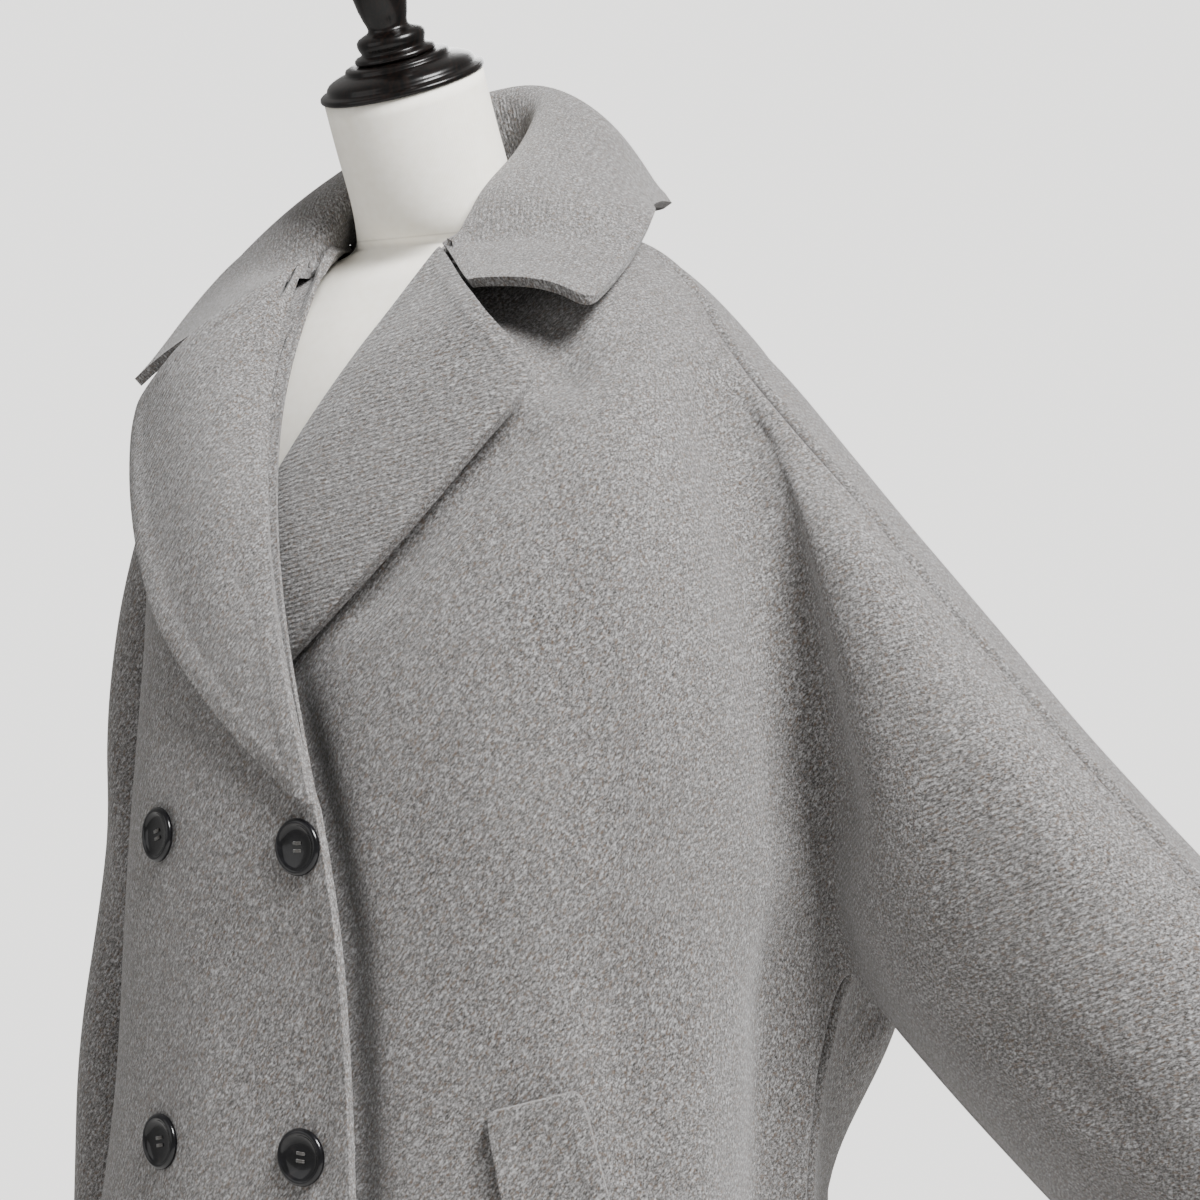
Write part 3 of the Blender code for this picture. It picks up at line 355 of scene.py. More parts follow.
thread, tree, shader = new_material("twisted_polyester_thread", roughness=0.55, sheen_weight=0.2)
place = add(tree, "ShaderNodeTexCoord").outputs["Object"]
twist = add(tree, "ShaderNodeTexNoise", {"Scale": 1500.0, "Detail": 2.0}, {"Vector": place})
thread_tones = add(
    tree, "ShaderNodeValToRGB", links={"Fac": twist.outputs["Fac"]},
    stops=((0.3, "#2b2927"), (0.7, "#4b4845")),
)
tree.links.new(thread_tones.outputs["Color"], shader.inputs["Base Color"])
print("finishes:", cotton.name, lacquer.name, horn.name, thread.name)

# %% [markdown]
# ## From a solid wall to a sheet of cloth
#
# Each coat piece is a closed wall in the imported model, with an outer side, an inner side and a narrow
# rim. The visible side alone is kept: the rim's faces are found by their short edge, which is the wall's
# thickness, and of the two sides left the one that faces outwards stays. Subdivision then rounds it,
# creases are pressed in, and Solidify and Bevel give the cloth its thickness and its soft edges
# back.

# %% Take the visible side of a wall
MERGE = 0.00001
EDGE_MATCH = 0.00003
PANEL_RING = 0.0070
PIECE_RING = 0.0035
EDGE_PARTS = 12


def skin_of(node, thickness, out):
    """The side of a CAD wall that faces out, as quads."""
    wall = bmesh.new()
    wall.from_mesh(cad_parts[node].data)
    bmesh.ops.remove_doubles(wall, verts=wall.verts, dist=MERGE)
    rim = [face for face in wall.faces
           if any(abs(edge.calc_length() - thickness) < EDGE_MATCH for edge in face.edges)]
    bmesh.ops.delete(wall, geom=rim, context="FACES")
    left, sides = set(wall.faces), []
    while left:
        side, queue = set(), [left.pop()]
        while queue:
            face = queue.pop()
            side.add(face)
            for edge in face.edges:
                for near in edge.link_faces:
                    if near in left:
                        left.remove(near)
                        queue.append(near)
        sides.append(side)
    best = max(sides, key=lambda side: sum(face.calc_area() * face.normal.dot(Vector(out)) for face in side))
    hidden = [face for side in sides if side is not best for face in side]
    bmesh.ops.delete(wall, geom=hidden, context="FACES")
    bmesh.ops.join_triangles(
        wall, faces=wall.faces, angle_face_threshold=math.radians(60), angle_shape_threshold=math.radians(70)
    )
    return wall


def distances(places, targets):
    """Each place's distance to the nearest target."""
    if not len(targets):
        return np.full(len(places), 1.0)
    lookup = KDTree(len(targets))
    for index, target in enumerate(targets):
        lookup.insert(target, index)
    lookup.balance()
    return np.array([lookup.find(place)[2] for place in places])


def hold_edge(skin, width):
    """Adds a narrow ring of faces along a skin's open edges, so that they stay crisp and can be pressed."""
    bmesh.ops.inset_region(
        skin, faces=skin.faces, thickness=width, use_boundary=True, use_even_offset=True,
        use_interpolate=True,
    )


def link(name, shape, finish):
    """A bmesh as a shaded object with one material."""
    mesh = bpy.data.meshes.new(name)
    shape.to_mesh(mesh)
    shape.free()
    mesh.shade_smooth()
    mesh.materials.append(finish)
    made = bpy.data.objects.new(name, mesh)
    bpy.context.scene.collection.objects.link(made)
    return made


def settle(piece):
    """Applies a piece's modifiers to its mesh."""
    bpy.context.view_layer.update()
    mesh = bpy.data.meshes.new_from_object(piece.evaluated_get(bpy.context.evaluated_depsgraph_get()))
    piece.modifiers.clear()
    piece.data = mesh
    return piece


def rounded(piece, levels, corners="ALL"):
    """Rounds a piece by subdivision."""
    modifier = piece.modifiers.new("round", "SUBSURF")
    modifier.boundary_smooth = corners
    modifier.levels = modifier.render_levels = levels
    return settle(piece)


print("cloth helpers ready")

# %% [markdown]
# ## The coat's pieces
#
# One row a piece: the node it stands for, the wall's thickness there, which way it faces, how often it is
# subdivided, and the flat size of its cut. The four body panels are cut in one with their halves of the
# sleeves, so they are the largest. All but the lapels get a ring of narrow faces that keeps their edges
# crisp. The lapels go without, which rounds their tips, and the places along their edges are kept for the
# next step.

# %% Skins of all coat pieces
WALL = 0.003
PIECES = {
    "front_left_cloth": {
        "node": "front_left", "thick": WALL, "out": (0, -1, 0), "levels": 3,
        "flat": (0.98, 1.12), "area": 0.66,
    },
    "front_right_cloth": {
        "node": "front_right", "thick": WALL, "out": (0, -1, 0), "levels": 3,
        "flat": (0.90, 1.12), "area": 0.56,
    },
    "back_left_cloth": {
        "node": "back_left", "thick": WALL, "out": (0, 1, 0), "levels": 3,
        "flat": (0.98, 1.15), "area": 0.60,
    },
    "back_right_cloth": {
        "node": "back_right", "thick": WALL, "out": (0, 1, 0), "levels": 3,
        "flat": (0.90, 1.15), "area": 0.45,
    },
    "lapel_left_cloth": {
        "node": "lapel_left", "thick": 0.005, "out": (0, -1, 0), "levels": 3,
        "flat": (0.20, 0.46), "area": 0.042,
    },
    "lapel_right_cloth": {
        "node": "lapel_right", "thick": 0.005, "out": (0, -1, 0), "levels": 3,
        "flat": (0.20, 0.46), "area": 0.038,
    },
    "collar_cloth": {
        "node": "collar", "thick": 0.005, "out": (0, 0, 1), "levels": 2,
        "flat": (0.74, 0.19), "area": 0.11,
    },
    "pocket_welt_left_cloth": {
        "node": "pocket_welt_left", "thick": 0.0045, "out": (0.7, -0.7, 0), "levels": 2,
        "flat": (0.055, 0.19), "area": 0.0100,
    },
    "pocket_welt_right_cloth": {
        "node": "pocket_welt_right", "thick": 0.0045, "out": (-0.7, -0.7, 0), "levels": 2,
        "flat": (0.055, 0.19), "area": 0.0100,
    },
}
cloth, lapel_edges = {}, {}
for name, row in PIECES.items():
    skin = skin_of(row["node"], row["thick"], row["out"])
    if name.startswith("lapel"):
        lapel_edges[name] = [edge.verts[0].co.lerp(edge.verts[1].co, part / EDGE_PARTS)
                             for edge in skin.edges if edge.is_boundary for part in range(EDGE_PARTS)]
    else:
        hold_edge(skin, PANEL_RING if row["thick"] == WALL else PIECE_RING)
    print(name, len(skin.faces), "faces")
    corners = "PRESERVE_CORNERS" if row["thick"] == WALL else "ALL"
    cloth[name] = rounded(link(name, skin, wool), row["levels"], corners)

# %% [markdown]
# ## Seams and free edges
#
# Where two panels are sewn together the cloth dips into the seam and puffs up a little beside it. Where
# it ends freely, as down the front and at the hem, it is turned back on itself, so a band along the edge
# stands slightly proud. A point's distance to the nearest seam or free edge decides how far it moves
# along its normal. A front's edge under its lapel counts as neither, because it would push through the
# lapel.


# %% Find seams and free edges
def points_of(piece):
    """A piece's vertex places and normals, as arrays."""
    count = len(piece.data.vertices)
    places, normals = np.zeros(count * 3), np.zeros(count * 3)
    piece.data.vertices.foreach_get("co", places)
    piece.data.vertices.foreach_get("normal", normals)
    return places.reshape(-1, 3), normals.reshape(-1, 3)


def boundary_of(piece):
    """The indexes of the vertices on a piece's open edges."""
    uses = {}
    for face in piece.data.polygons:
        for key in face.edge_keys:
            uses[key] = uses.get(key, 0) + 1
    return sorted({index for key, count in uses.items() if count == 1 for index in key})


PANELS = [name for name in PIECES if PIECES[name]["thick"] == WALL]
SEWN_WITHIN = 0.002
LAPEL_CLEAR = 0.012
edge_points = {name: points_of(cloth[name])[0][boundary_of(cloth[name])] for name in PIECES}
seam_points, free_points = {}, {}
for name in PIECES:
    others = [edge_points[other] for other in PANELS if other != name] if name in PANELS else []
    near = distances(edge_points[name], np.concatenate(others) if others else [])
    seam_points[name] = edge_points[name][near < SEWN_WITHIN]
    free_points[name] = edge_points[name][near >= SEWN_WITHIN]
    if name.startswith("front"):
        off_lapel = distances(free_points[name], lapel_edges[name.replace("front", "lapel")])
        free_points[name] = free_points[name][off_lapel > LAPEL_CLEAR]
    print(name, len(seam_points[name]), "sewn,", len(free_points[name]), "free")

# %% [markdown]
# ## Creases
#
# Thick wool folds in few, wide, soft folds. Each row is a bent line along the cloth with its half width
# and its depth, below zero for a trough. They are uneven on purpose, and the back gets its own. A drag
# moves a small area as a whole, which lifts the left lapel off the front and settles the collar's ends.

# %% Fold tables
CREASES = {
    "front_left_cloth": [
        {"width": 0.036, "depth": -0.0165, "line": [
            (0.228, -0.050, 1.360), (0.253, -0.059, 1.320), (0.285, -0.074, 1.259), (0.307, -0.077, 1.200),
            (0.322, -0.079, 1.142), (0.330, -0.070, 1.084), (0.316, -0.040, 1.020),
        ]},
        {"width": 0.030, "depth": 0.0060, "line": [
            (0.300, -0.041, 1.300), (0.347, -0.066, 1.235), (0.374, -0.070, 1.200), (0.440, -0.078, 1.117),
            (0.528, -0.081, 1.013),
        ]},
        {"width": 0.028, "depth": 0.0045, "line": [
            (0.200, -0.110, 1.330), (0.232, -0.140, 1.240), (0.252, -0.150, 1.140), (0.262, -0.140, 1.050),
        ]},
        {"width": 0.022, "depth": -0.0065, "line": [
            (0.228, -0.170, 1.050), (0.233, -0.166, 1.006), (0.241, -0.159, 0.932), (0.253, -0.155, 0.864),
            (0.275, -0.160, 0.620),
        ]},
        {"width": 0.018, "depth": 0.0045, "line": [
            (0.270, -0.125, 1.040), (0.271, -0.119, 0.929), (0.274, -0.119, 0.860), (0.300, -0.130, 0.620),
        ]},
        {"width": 0.021, "depth": -0.0130, "line": [
            (0.296, -0.070, 1.060), (0.290, -0.066, 1.000), (0.283, -0.058, 0.919), (0.285, -0.060, 0.820),
            (0.300, -0.072, 0.600),
        ]},
        {"width": 0.017, "depth": -0.0075, "line": [
            (0.007, -0.183, 1.200), (0.028, -0.190, 1.140), (0.049, -0.200, 1.093), (0.066, -0.205, 1.047),
            (0.080, -0.206, 0.996), (0.085, -0.207, 0.932), (0.090, -0.209, 0.857), (0.095, -0.222, 0.700),
        ]},
        {"width": 0.014, "depth": -0.0050, "line": [
            (0.172, -0.140, 1.330), (0.166, -0.157, 1.295), (0.129, -0.181, 1.255), (0.095, -0.187, 1.215),
            (0.051, -0.190, 1.175),
        ]},
        {"width": 0.022, "depth": -0.0110, "line": [
            (0.090, -0.090, 1.400), (0.128, -0.100, 1.380), (0.158, -0.112, 1.363), (0.174, -0.120, 1.343),
            (0.180, -0.140, 1.310),
        ]},
        {"width": 0.020, "depth": -0.0050, "line": [
            (0.380, -0.040, 0.960), (0.450, -0.080, 0.960), (0.540, -0.080, 0.900),
        ]},
        {"width": 0.040, "depth": -0.0035, "line": [
            (0.110, -0.190, 1.180), (0.130, -0.215, 1.000), (0.140, -0.230, 0.700),
        ]},
    ],
    "front_right_cloth": [
        {"width": 0.022, "depth": -0.0050, "line": [
            (-0.160, -0.130, 1.180), (-0.175, -0.130, 1.000), (-0.200, -0.150, 0.760),
        ]},
        {"width": 0.030, "depth": 0.0030, "line": [
            (-0.010, -0.225, 1.000), (-0.020, -0.235, 0.800), (-0.030, -0.250, 0.500),
        ]},
        {"width": 0.018, "depth": 0.0030, "line": [(-0.250, -0.070, 1.100), (-0.280, -0.080, 0.800)]},
        {"width": 0.016, "depth": -0.0060, "line": [
            (-0.150, -0.150, 1.060), (-0.180, -0.155, 0.860), (-0.205, -0.165, 0.600),
        ]},
    ],
    "back_left_cloth": [
        {"width": 0.032, "depth": -0.0110, "line": [
            (0.235, 0.110, 1.340), (0.265, 0.130, 1.260), (0.285, 0.130, 1.160), (0.290, 0.100, 1.060),
        ]},
        {"width": 0.028, "depth": 0.0050, "line": [
            (0.310, 0.080, 1.280), (0.420, 0.080, 1.140), (0.520, 0.070, 1.020),
        ]},
        {"width": 0.020, "depth": -0.0050, "line": [(0.300, 0.045, 0.940), (0.330, 0.020, 0.950)]},
        {"width": 0.030, "depth": -0.0045, "line": [
            (0.110, 0.185, 1.250), (0.140, 0.200, 1.000), (0.150, 0.220, 0.650),
        ]},
    ],
    "back_right_cloth": [
        {"width": 0.026, "depth": -0.0060, "line": [
            (-0.190, 0.130, 1.300), (-0.215, 0.120, 1.150), (-0.210, 0.110, 1.000),
        ]},
        {"width": 0.032, "depth": -0.0040, "line": [
            (-0.100, 0.185, 1.150), (-0.120, 0.200, 0.900), (-0.140, 0.220, 0.650),
        ]},
        {"width": 0.018, "depth": 0.0030, "line": [(-0.270, 0.100, 1.100), (-0.300, 0.110, 0.800)]},
    ],
    "lapel_left_cloth": [
        {"width": 0.028, "depth": 0.0015, "line": [
            (0.060, -0.110, 1.380), (0.030, -0.160, 1.290), (0.000, -0.190, 1.220),
        ]},
    ],
    "lapel_right_cloth": [
        {"width": 0.030, "depth": -0.0020, "line": [
            (-0.110, -0.150, 1.340), (-0.080, -0.200, 1.260), (-0.050, -0.220, 1.200),
        ]},
    ],
    "collar_cloth": [
        {"width": 0.020, "depth": 0.0020, "line": [
            (0.150, -0.060, 1.430), (0.150, 0.000, 1.450), (0.130, 0.060, 1.480),
        ]},
    ],
}
SEAM_DEPTH = 0.0042
SEAM_WIDTH = 0.0032
SEAM_PUFF = 0.0014
SEAM_PUFF_OFF = 2.2 * SEAM_WIDTH
# Painted shade in the seams: how wide it spreads and its strongest share of dark colour.
SEAM_SHADE_WIDTH = 0.0016
SEAM_SHADE = 0.8
SEAM_VALLEY = 0.018
PUCKER_SPACING = 0.055
PUCKER_RUN = np.array((1.0, 0.6, 1.0))
PUCKER_LEAST = 0.7
PUCKER_SHARE = 0.3
FOLD_FADE = 0.22
EDGE_RISE = 0.0011
EDGE_BAND = 0.012
EDGE_STEP = 0.0011
STEP_LIMIT = 50
WAVER = 0.0011
WAVER_SIZE = 0.090
DRAGS = {
    "collar_cloth": [
        {"centre": (-0.154, -0.120, 1.365), "reach": 0.065, "move": (0.0, 0.0, -0.018)},
        {"centre": (-0.058, -0.060, 1.430), "reach": 0.032, "move": (0.0, 0.0, -0.015)},
        {"centre": (0.163, 0.018, 1.457), "reach": 0.030, "move": (-0.003, -0.001, -0.002)},
        {"centre": (0.145, 0.072, 1.468), "reach": 0.055, "move": (-0.013, -0.007, -0.004)},
        {"centre": (0.158, 0.040, 1.460), "reach": 0.026, "move": (-0.005, -0.001, -0.002)},
    ],
    "lapel_left_cloth": [
        {"centre": (0.164, -0.147, 1.327), "reach": 0.045, "move": (0.004, -0.009, 0.003)},
        {"centre": (0.125, -0.125, 1.375), "reach": 0.030, "move": (0.002, -0.006, 0.003)},
        {"centre": (0.145, -0.168, 1.280), "reach": 0.035, "move": (0.001, -0.0035, 0.0)},
        {"centre": (0.110, -0.184, 1.240), "reach": 0.035, "move": (0.001, -0.0035, 0.0)},
        {"centre": (0.070, -0.188, 1.200), "reach": 0.035, "move": (0.0, -0.0030, 0.0)},
    ],
}


def line_gap(places, line):
    """Each place's distance to a bent line, and how far along the line it lies, from 0 to 1."""
    corners = np.array(line)
    runs = np.diff(corners, axis=0)
    lengths = np.linalg.norm(runs, axis=1)
    gaps, alongs = [], []
    for index, (start, run) in enumerate(zip(corners, runs)):
        along = np.clip((places - start) @ run / (run @ run), 0, 1)
        gaps.append(np.linalg.norm(places - start - along[:, None] * run, axis=1))
        alongs.append((lengths[:index].sum() + along * lengths[index]) / lengths.sum())
    nearest = np.argmin(gaps, axis=0)
    rows = np.arange(len(places))
    return np.array(gaps)[nearest, rows], np.array(alongs)[nearest, rows]


def press(name):
    """Presses creases, seams and turned edges into a piece, stores the shade painted into its seams, and
    returns its points' gaps to a free edge.
    """
    piece = cloth[name]
    places, normals = points_of(piece)
    seam_gap = distances(places, seam_points[name])
    free_gap = distances(places, free_points[name])
    lift = np.zeros(len(places))
    for crease in CREASES.get(name, []):
        gap, along = line_gap(places, crease["line"])
        fade = np.clip(np.minimum(along, 1 - along) / FOLD_FADE, 0, 1)
        lift += crease["depth"] * np.exp(-((gap / crease["width"]) ** 2)) * fade * fade * (3 - 2 * fade)
    if name in PANELS:
        waver = np.array([noise.noise(Vector(place) / WAVER_SIZE) for place in places])
        lift += WAVER * waver
    lift *= np.clip(seam_gap / SEAM_VALLEY, 0, 1)
    pucker = PUCKER_LEAST + PUCKER_SHARE * np.sin(places @ PUCKER_RUN * 2 * np.pi / PUCKER_SPACING)
    lift -= SEAM_DEPTH * np.exp(-((seam_gap / SEAM_WIDTH) ** 2))
    lift += SEAM_PUFF * pucker * np.exp(-(((seam_gap - SEAM_PUFF_OFF) / SEAM_WIDTH) ** 2))
    past_band = np.clip((free_gap - EDGE_BAND) / EDGE_STEP, -STEP_LIMIT, STEP_LIMIT)
    lift += EDGE_RISE / (1 + np.exp(past_band))
    moved = places + normals * lift[:, None]
    for drag in DRAGS.get(name, []):
        near = np.exp(-((np.linalg.norm(places - np.array(drag["centre"]), axis=1) / drag["reach"]) ** 2))
        moved += near[:, None] * np.array(drag["move"])
    piece.data.vertices.foreach_set("co", moved.ravel())
    # Painted shade: each point's share of dark seam colour, strongest right in the seam.
    shade = piece.data.attributes.new("painted_seam_shade", "FLOAT", "POINT")
    shade.data.foreach_set("value", SEAM_SHADE * np.exp(-((seam_gap / SEAM_SHADE_WIDTH) ** 2)))
    piece.data.update()
    return free_gap


for name in PIECES:
    PIECES[name]["free_gap"] = press(name)
print("pressed", len(CREASES), "pieces")

# %% [markdown]
# ## Grain
#
# Cloth is cut with its threads running one way, so the ribs and fibres turn where a piece turns. Each
# piece stores its grain's angle as an attribute, and the left sleeve, which is raised, turns its own with
# it. The wool's material turns its pattern by that angle, in the plane that the front lies in.

# %% Turn the grain with the cloth
GRAIN_ANGLES = {
    "front_left_cloth": 50, "front_right_cloth": 58,
    "back_left_cloth": 50, "back_right_cloth": 58,
    "lapel_left_cloth": 12, "lapel_right_cloth": 60, "collar_cloth": 112,
    "pocket_welt_left_cloth": 50, "pocket_welt_right_cloth": 58,
}
SLEEVE_TURN = {"from": 0.24, "to": 0.40, "degrees": -26}
SLEEVE_FOOT = {"x": 0.30, "z": 1.02, "slope": -0.6, "blend": 0.10}


def lay_grain(name):
    """Stores the grain's angle on a piece, point by point."""
    places, _ = points_of(cloth[name])
    across, up = places[:, 0], places[:, 2]
    angles = np.full(len(places), math.radians(GRAIN_ANGLES[name]))
    if name in ("front_left_cloth", "back_left_cloth"):
        reach = (across - SLEEVE_TURN["from"]) / (SLEEVE_TURN["to"] - SLEEVE_TURN["from"])
        foot = SLEEVE_FOOT["z"] + SLEEVE_FOOT["slope"] * (across - SLEEVE_FOOT["x"])
        above = np.clip((up - foot) / SLEEVE_FOOT["blend"] + 1.0, 0, 1)
        angles += math.radians(SLEEVE_TURN["degrees"]) * np.clip(reach, 0, 1) * above
    layer = cloth[name].data.attributes.new("grain_turn", "FLOAT", "POINT")
    layer.data.foreach_set("value", angles)


for name in PIECES:
    lay_grain(name)
print("grain laid on", len(PIECES), "pieces")

# %% [markdown]
# ## Thickness and edges
#
# Solidify grows a panel's wall inwards, so the shape that was modelled stays its outer face. The smaller
# pieces stand a little proud of theirs. A vertex group makes the wall thicker along free edges, where the
# cloth is double, and Bevel rounds the two corners of the edge.

# %% Give the cloth its wall
DOUBLE_THICK = {"panel": 0.0062, "piece": 0.0066}
PIECE_INNER = 0.75
PIECE_PROUD = 0.0012
TURNED_BAND = 0.009
EDGE_ROUND = 0.42
for name, row in PIECES.items():
    piece = cloth[name]
    kind = "panel" if name in PANELS else "piece"
    full = DOUBLE_THICK[kind]
    group = piece.vertex_groups.new(name="thickness")
    inner_share = WALL / full if kind == "panel" else PIECE_INNER
    shares = inner_share + (1 - inner_share) * np.clip(2.0 - row["free_gap"] / TURNED_BAND, 0, 1)
    for index, share in enumerate(shares):
        group.add([index], share, "REPLACE")
    wall = piece.modifiers.new("wall", "SOLIDIFY")
    wall.thickness = full
    wall.offset = -1.0 if kind == "panel" else -(1.0 - 2 * PIECE_PROUD / full)
    wall.vertex_group = "thickness"
    edge = piece.modifiers.new("edge", "BEVEL")
    edge.width = full * EDGE_ROUND
    edge.segments = 3
    edge.limit_method = "ANGLE"
    edge.angle_limit = math.radians(60)
    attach(piece, "root")
    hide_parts(row["node"])
print(len(cloth), "cloth pieces")

# %% [markdown]
# ## Turned pieces
#
# The cap, finial, pole, base and buttons are all turned: one outline spun round an axis. bmesh's spin
# does that, and a helper then stands the result on its own axis. The cap and finial lean forwards with
# the form's neck.

# %% Turned pieces
LEAN = math.radians(25)
lean_axis = Vector((0.0, -math.sin(LEAN), math.cos(LEAN)))


def spun(name, outline, steps, finish, place=(0, 0, 0), axis=(0, 0, 1)):
    """A turned piece from its outline of radius and height, from the lower centre to the upper one."""
    shape = bmesh.new()
    corners = [shape.verts.new((radius, 0.0, height)) for radius, height in outline]
    edges = [shape.edges.new(pair) for pair in zip(corners, corners[1:])]
    bmesh.ops.spin(
        shape, geom=corners + edges, cent=(0, 0, 0), axis=(0, 0, 1), angle=2 * math.pi,
        steps=steps, use_merge=True,
    )
    bmesh.ops.remove_doubles(shape, verts=shape.verts, dist=MERGE)
    bmesh.ops.recalc_face_normals(shape, faces=shape.faces)
    turn = Vector((0, 0, 1)).rotation_difference(Vector(axis)).to_matrix().to_4x4()
    shape.transform(Matrix.Translation(place) @ turn)
    made = link(name, shape, finish)
    made.data.set_sharp_from_angle(angle=math.radians(50))
    return made


CAP_OUTLINE = [
    (0.0, 0.0), (0.0540, 0.0), (0.0552, 0.0004), (0.0556, 0.0016), (0.0552, 0.0030),
    (0.0540, 0.0038), (0.0512, 0.0044), (0.0502, 0.0052), (0.0500, 0.0066), (0.0494, 0.0080),
    (0.0478, 0.0096), (0.0450, 0.0110), (0.0410, 0.0124), (0.0372, 0.0134), (0.0356, 0.0138),
    (0.0350, 0.0144), (0.0351, 0.0158), (0.0345, 0.0168), (0.0320, 0.0176), (0.0290, 0.0180),
    (0.0, 0.0180),
]
FINIAL_OUTLINE = [
    (0.0, 0.0), (0.0256, 0.0), (0.0268, 0.0006), (0.0272, 0.0018), (0.0268, 0.0032),
    (0.0254, 0.0042), (0.0224, 0.0050), (0.0216, 0.0058), (0.0217, 0.0070), (0.0226, 0.0090),
    (0.0231, 0.0115), (0.0228, 0.0138), (0.0212, 0.0156), (0.0180, 0.0170), (0.0152, 0.0180),
    (0.0139, 0.0190), (0.0134, 0.0205), (0.0138, 0.0228), (0.0152, 0.0270), (0.0168, 0.0335),
    (0.0180, 0.0420), (0.0187, 0.0500), (0.0189, 0.0580), (0.0187, 0.0680), (0.0180, 0.0780),
    (0.0166, 0.0870), (0.0144, 0.0945), (0.0114, 0.1000), (0.0072, 0.1034), (0.0030, 0.1044),
    (0.0, 0.1045),
]
END_SLICE = 0.0001
OFF_AXIS = 0.01


def spots_of(node):
    """The different vertex places of a CAD solid."""
    places = np.array([vertex.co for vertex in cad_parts[node].data.vertices])
    return np.unique(np.round(places, 6), axis=0)


def low_end(node, axis):
    """Where a leaning turned solid's axis starts: its lowest point along the axis, on the axis."""
    places = spots_of(node)
    heights = places @ np.array(axis)
    ring = places[heights < heights.min() + END_SLICE]
    ring = ring[np.linalg.norm(ring - ring.mean(axis=0), axis=1) > OFF_AXIS]
    return Vector(ring.mean(axis=0))


cap = spun("neck_cap_turned", CAP_OUTLINE, 96, lacquer, low_end("neck_cap", lean_axis), lean_axis)
finial = spun("finial_turned", FINIAL_OUTLINE, 72, lacquer, low_end("finial", lean_axis), lean_axis)
for piece, node in ((cap, "neck_cap"), (finial, "finial")):
    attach(piece, "root")
    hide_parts(node)
print("cap and finial turned")

# %% Stand
pole_low, pole_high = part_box("stand_pole")
base_low, base_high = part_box("stand_base")
pole_radius = (pole_high.x - pole_low.x) / 2
base_radius = (base_high.x - base_low.x) / 2
WAIST_SHARE = 0.86
FERRULE_STRAIGHT = 0.020
FERRULE_END = 0.024
pole_waist = pole_radius * WAIST_SHARE
POLE_OUTLINE = [
    (0.0, pole_low.z), (pole_radius, pole_low.z), (pole_radius, pole_low.z + FERRULE_STRAIGHT),
    (pole_waist, pole_low.z + FERRULE_END), (pole_waist, pole_high.z - FERRULE_END),
    (pole_radius, pole_high.z - FERRULE_STRAIGHT), (pole_radius, pole_high.z), (0.0, pole_high.z),
]
BASE_OUTLINE = [
    (0.0, 0.0), (base_radius - 0.002, 0.0), (base_radius, 0.002), (base_radius, 0.009),
    (base_radius - 0.004, 0.013), (base_radius - 0.010, 0.0155), (0.170, 0.0185), (0.145, 0.0215),
    (0.110, 0.0265), (0.075, 0.0325), (0.050, 0.0380), (0.036, 0.0420), (0.032, 0.0445),
    (0.030, base_high.z), (0.0, base_high.z),
]
pole = spun("stand_pole_turned", POLE_OUTLINE, 48, lacquer)
base = spun("stand_base_turned", BASE_OUTLINE, 96, lacquer)
for piece, node in ((pole, "stand_pole"), (base, "stand_base")):
    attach(piece, "root")
    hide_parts(node)
print("stand turned")

# %% [markdown]
# ## Buttons
#
# A four-hole button with a raised rim and a dished middle. The disc is spun from its outline, the holes
# are cut with a Boolean, and two bars of thread join the holes. Each button is built on the place and
# axis of its own solid.

# %% Buttons
BUTTON_OUTLINE = [
    (0.0, 0.0002), (0.0146, 0.0002), (0.0160, 0.0006), (0.0168, 0.0014), (0.0170, 0.0024),
    (0.0167, 0.0034), (0.0160, 0.0042), (0.0150, 0.0047), (0.0142, 0.0047), (0.0134, 0.0043),
    (0.0128, 0.0037), (0.0122, 0.0032), (0.0100, 0.0027), (0.0070, 0.0024), (0.0, 0.0023),
]
HOLE_RADIUS = 0.0012
HOLE_OFF = 0.00224
HOLE_CORNERS = ((1, 1), (-1, 1), (-1, -1), (1, -1))
HOLE_HEIGHT = 0.0025
DRILL_LENGTH = 0.012
THREAD_RADIUS = 0.00055
THREAD_OFF = 0.9 * THREAD_RADIUS
THREAD_RISE = 0.0002


def button_place(node):
    """The middle of a button's underside and its axis, from its solid."""
    places = spots_of(node)
    centre = places.mean(axis=0)
    axis = np.linalg.svd(places - centre, full_matrices=False)[2][2]
    if axis[1] > 0:
        axis = -axis
    heights = places @ axis
    under = places[heights < heights.min() + END_SLICE]
    return Vector((under.max(axis=0) + under.min(axis=0)) / 2), Vector(axis)


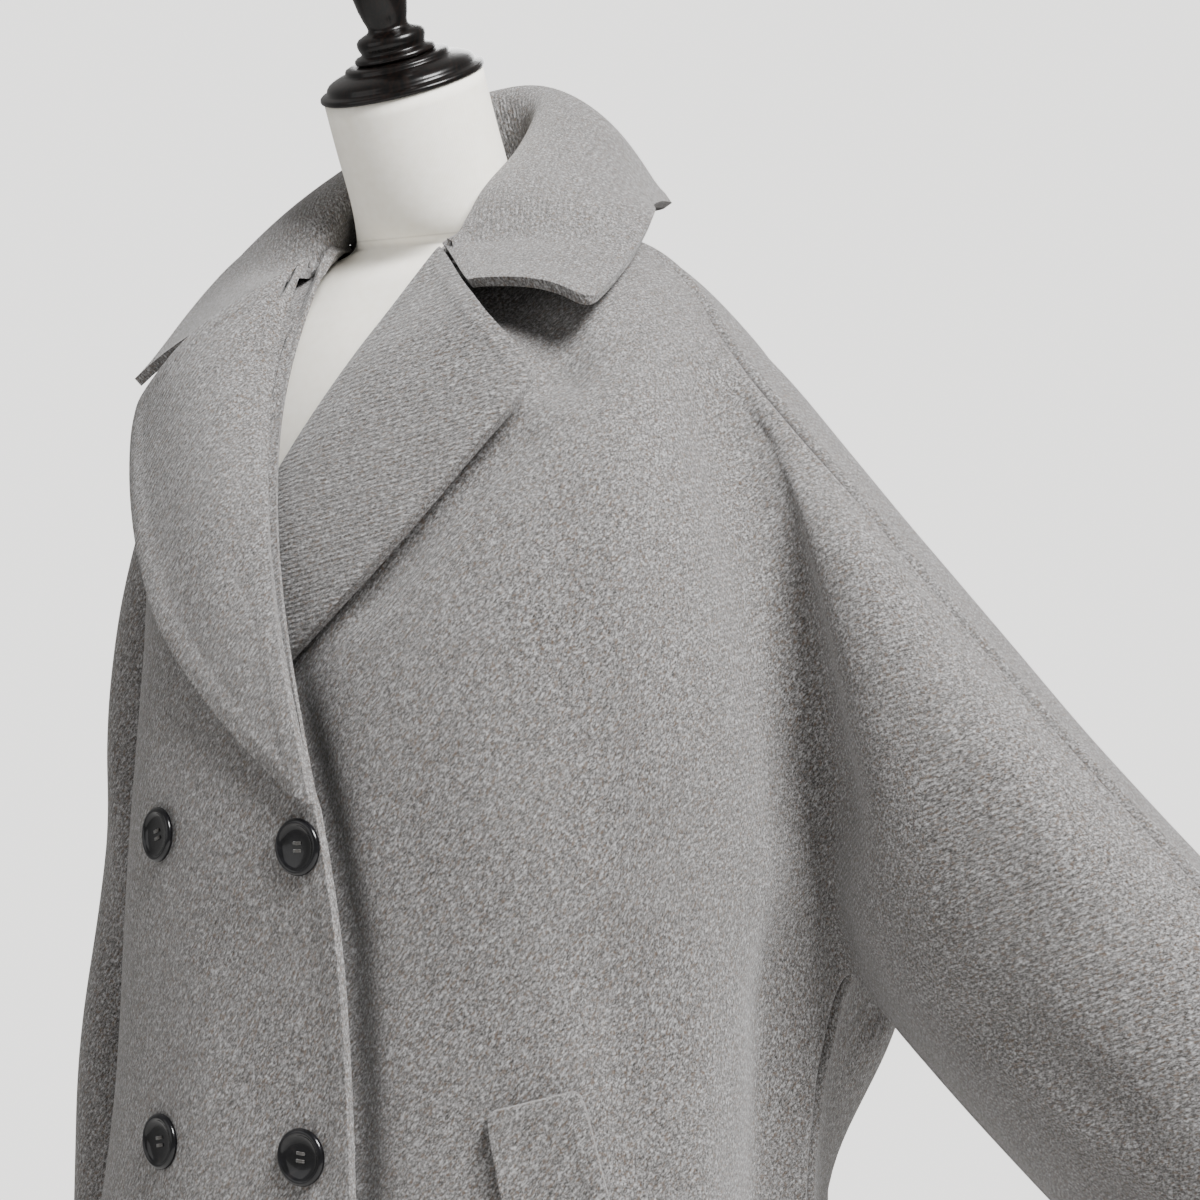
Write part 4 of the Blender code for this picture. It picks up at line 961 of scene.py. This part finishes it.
def make_button(node):
    """Makes a turned button with holes, and its thread, and returns the button's place."""
    foot, axis = button_place(node)
    turn = Vector((0, 0, 1)).rotation_difference(axis).to_matrix().to_4x4()
    stand = Matrix.Translation(foot) @ turn
    disc = spun(f"{node}_disc", BUTTON_OUTLINE, 72, horn)
    drill = bmesh.new()
    holes = [Vector((HOLE_OFF * x, HOLE_OFF * y, HOLE_HEIGHT)) for x, y in HOLE_CORNERS]
    for hole in holes:
        bmesh.ops.create_cone(
            drill, cap_ends=True, segments=20, radius1=HOLE_RADIUS, radius2=HOLE_RADIUS, depth=DRILL_LENGTH,
            matrix=Matrix.Translation(hole),
        )
    cutter = link("drill", drill, horn)
    cut = disc.modifiers.new("holes", "BOOLEAN")
    cut.object = cutter
    cut.operation = "DIFFERENCE"
    cut.solver = "EXACT"
    settle(disc)
    bpy.data.objects.remove(cutter, do_unlink=True)
    disc.data.transform(stand)
    disc.data.set_sharp_from_angle(angle=math.radians(45))
    sewing = bmesh.new()
    for first, second in ((holes[0], holes[1]), (holes[3], holes[2])):
        for side in (-THREAD_OFF, THREAD_OFF):
            middle = (first + second) / 2 + Vector((0, side, THREAD_RISE))
            bmesh.ops.create_cone(
                sewing, cap_ends=True, segments=10, radius1=THREAD_RADIUS, radius2=THREAD_RADIUS,
                depth=(first - second).length + HOLE_RADIUS,
                matrix=Matrix.Translation(middle) @ Matrix.Rotation(math.pi / 2, 4, "Y"),
            )
    sewing.transform(stand)
    stitches = link(f"{node}_thread", sewing, thread)
    for piece in (disc, stitches):
        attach(piece, "root")
    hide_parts(node)
    return foot


BUTTONS = ("button_top_left", "button_top_right", "button_low_left", "button_low_right")
for node in BUTTONS:
    print(node, "at", [round(value, 3) for value in make_button(node)])

# %% [markdown]
# ## The dress form
#
# The form stays the shape of its solid, only rounder: the triangles are merged and joined, and
# subdivision smooths the shoulders and neck. The rings at its two ends are creased, so the neck still
# ends in a clean edge under its cap.

# %% Dress form
form_shape = bmesh.new()
form_shape.from_mesh(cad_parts["form_torso"].data)
bmesh.ops.remove_doubles(form_shape, verts=form_shape.verts, dist=MERGE)
bmesh.ops.join_triangles(
    form_shape, faces=form_shape.faces,
    angle_face_threshold=math.radians(50), angle_shape_threshold=math.radians(70),
)
crease = form_shape.edges.layers.float.new("crease_edge")
for edge in form_shape.edges:
    if len(edge.link_faces) == 2 and edge.calc_face_angle() > math.radians(55):
        edge[crease] = 1.0
form = link("form_torso_cover", form_shape, cotton)
rounded(form, 2)
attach(form, "root")
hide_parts("form_torso")
print("form has", len(form.data.polygons), "faces")
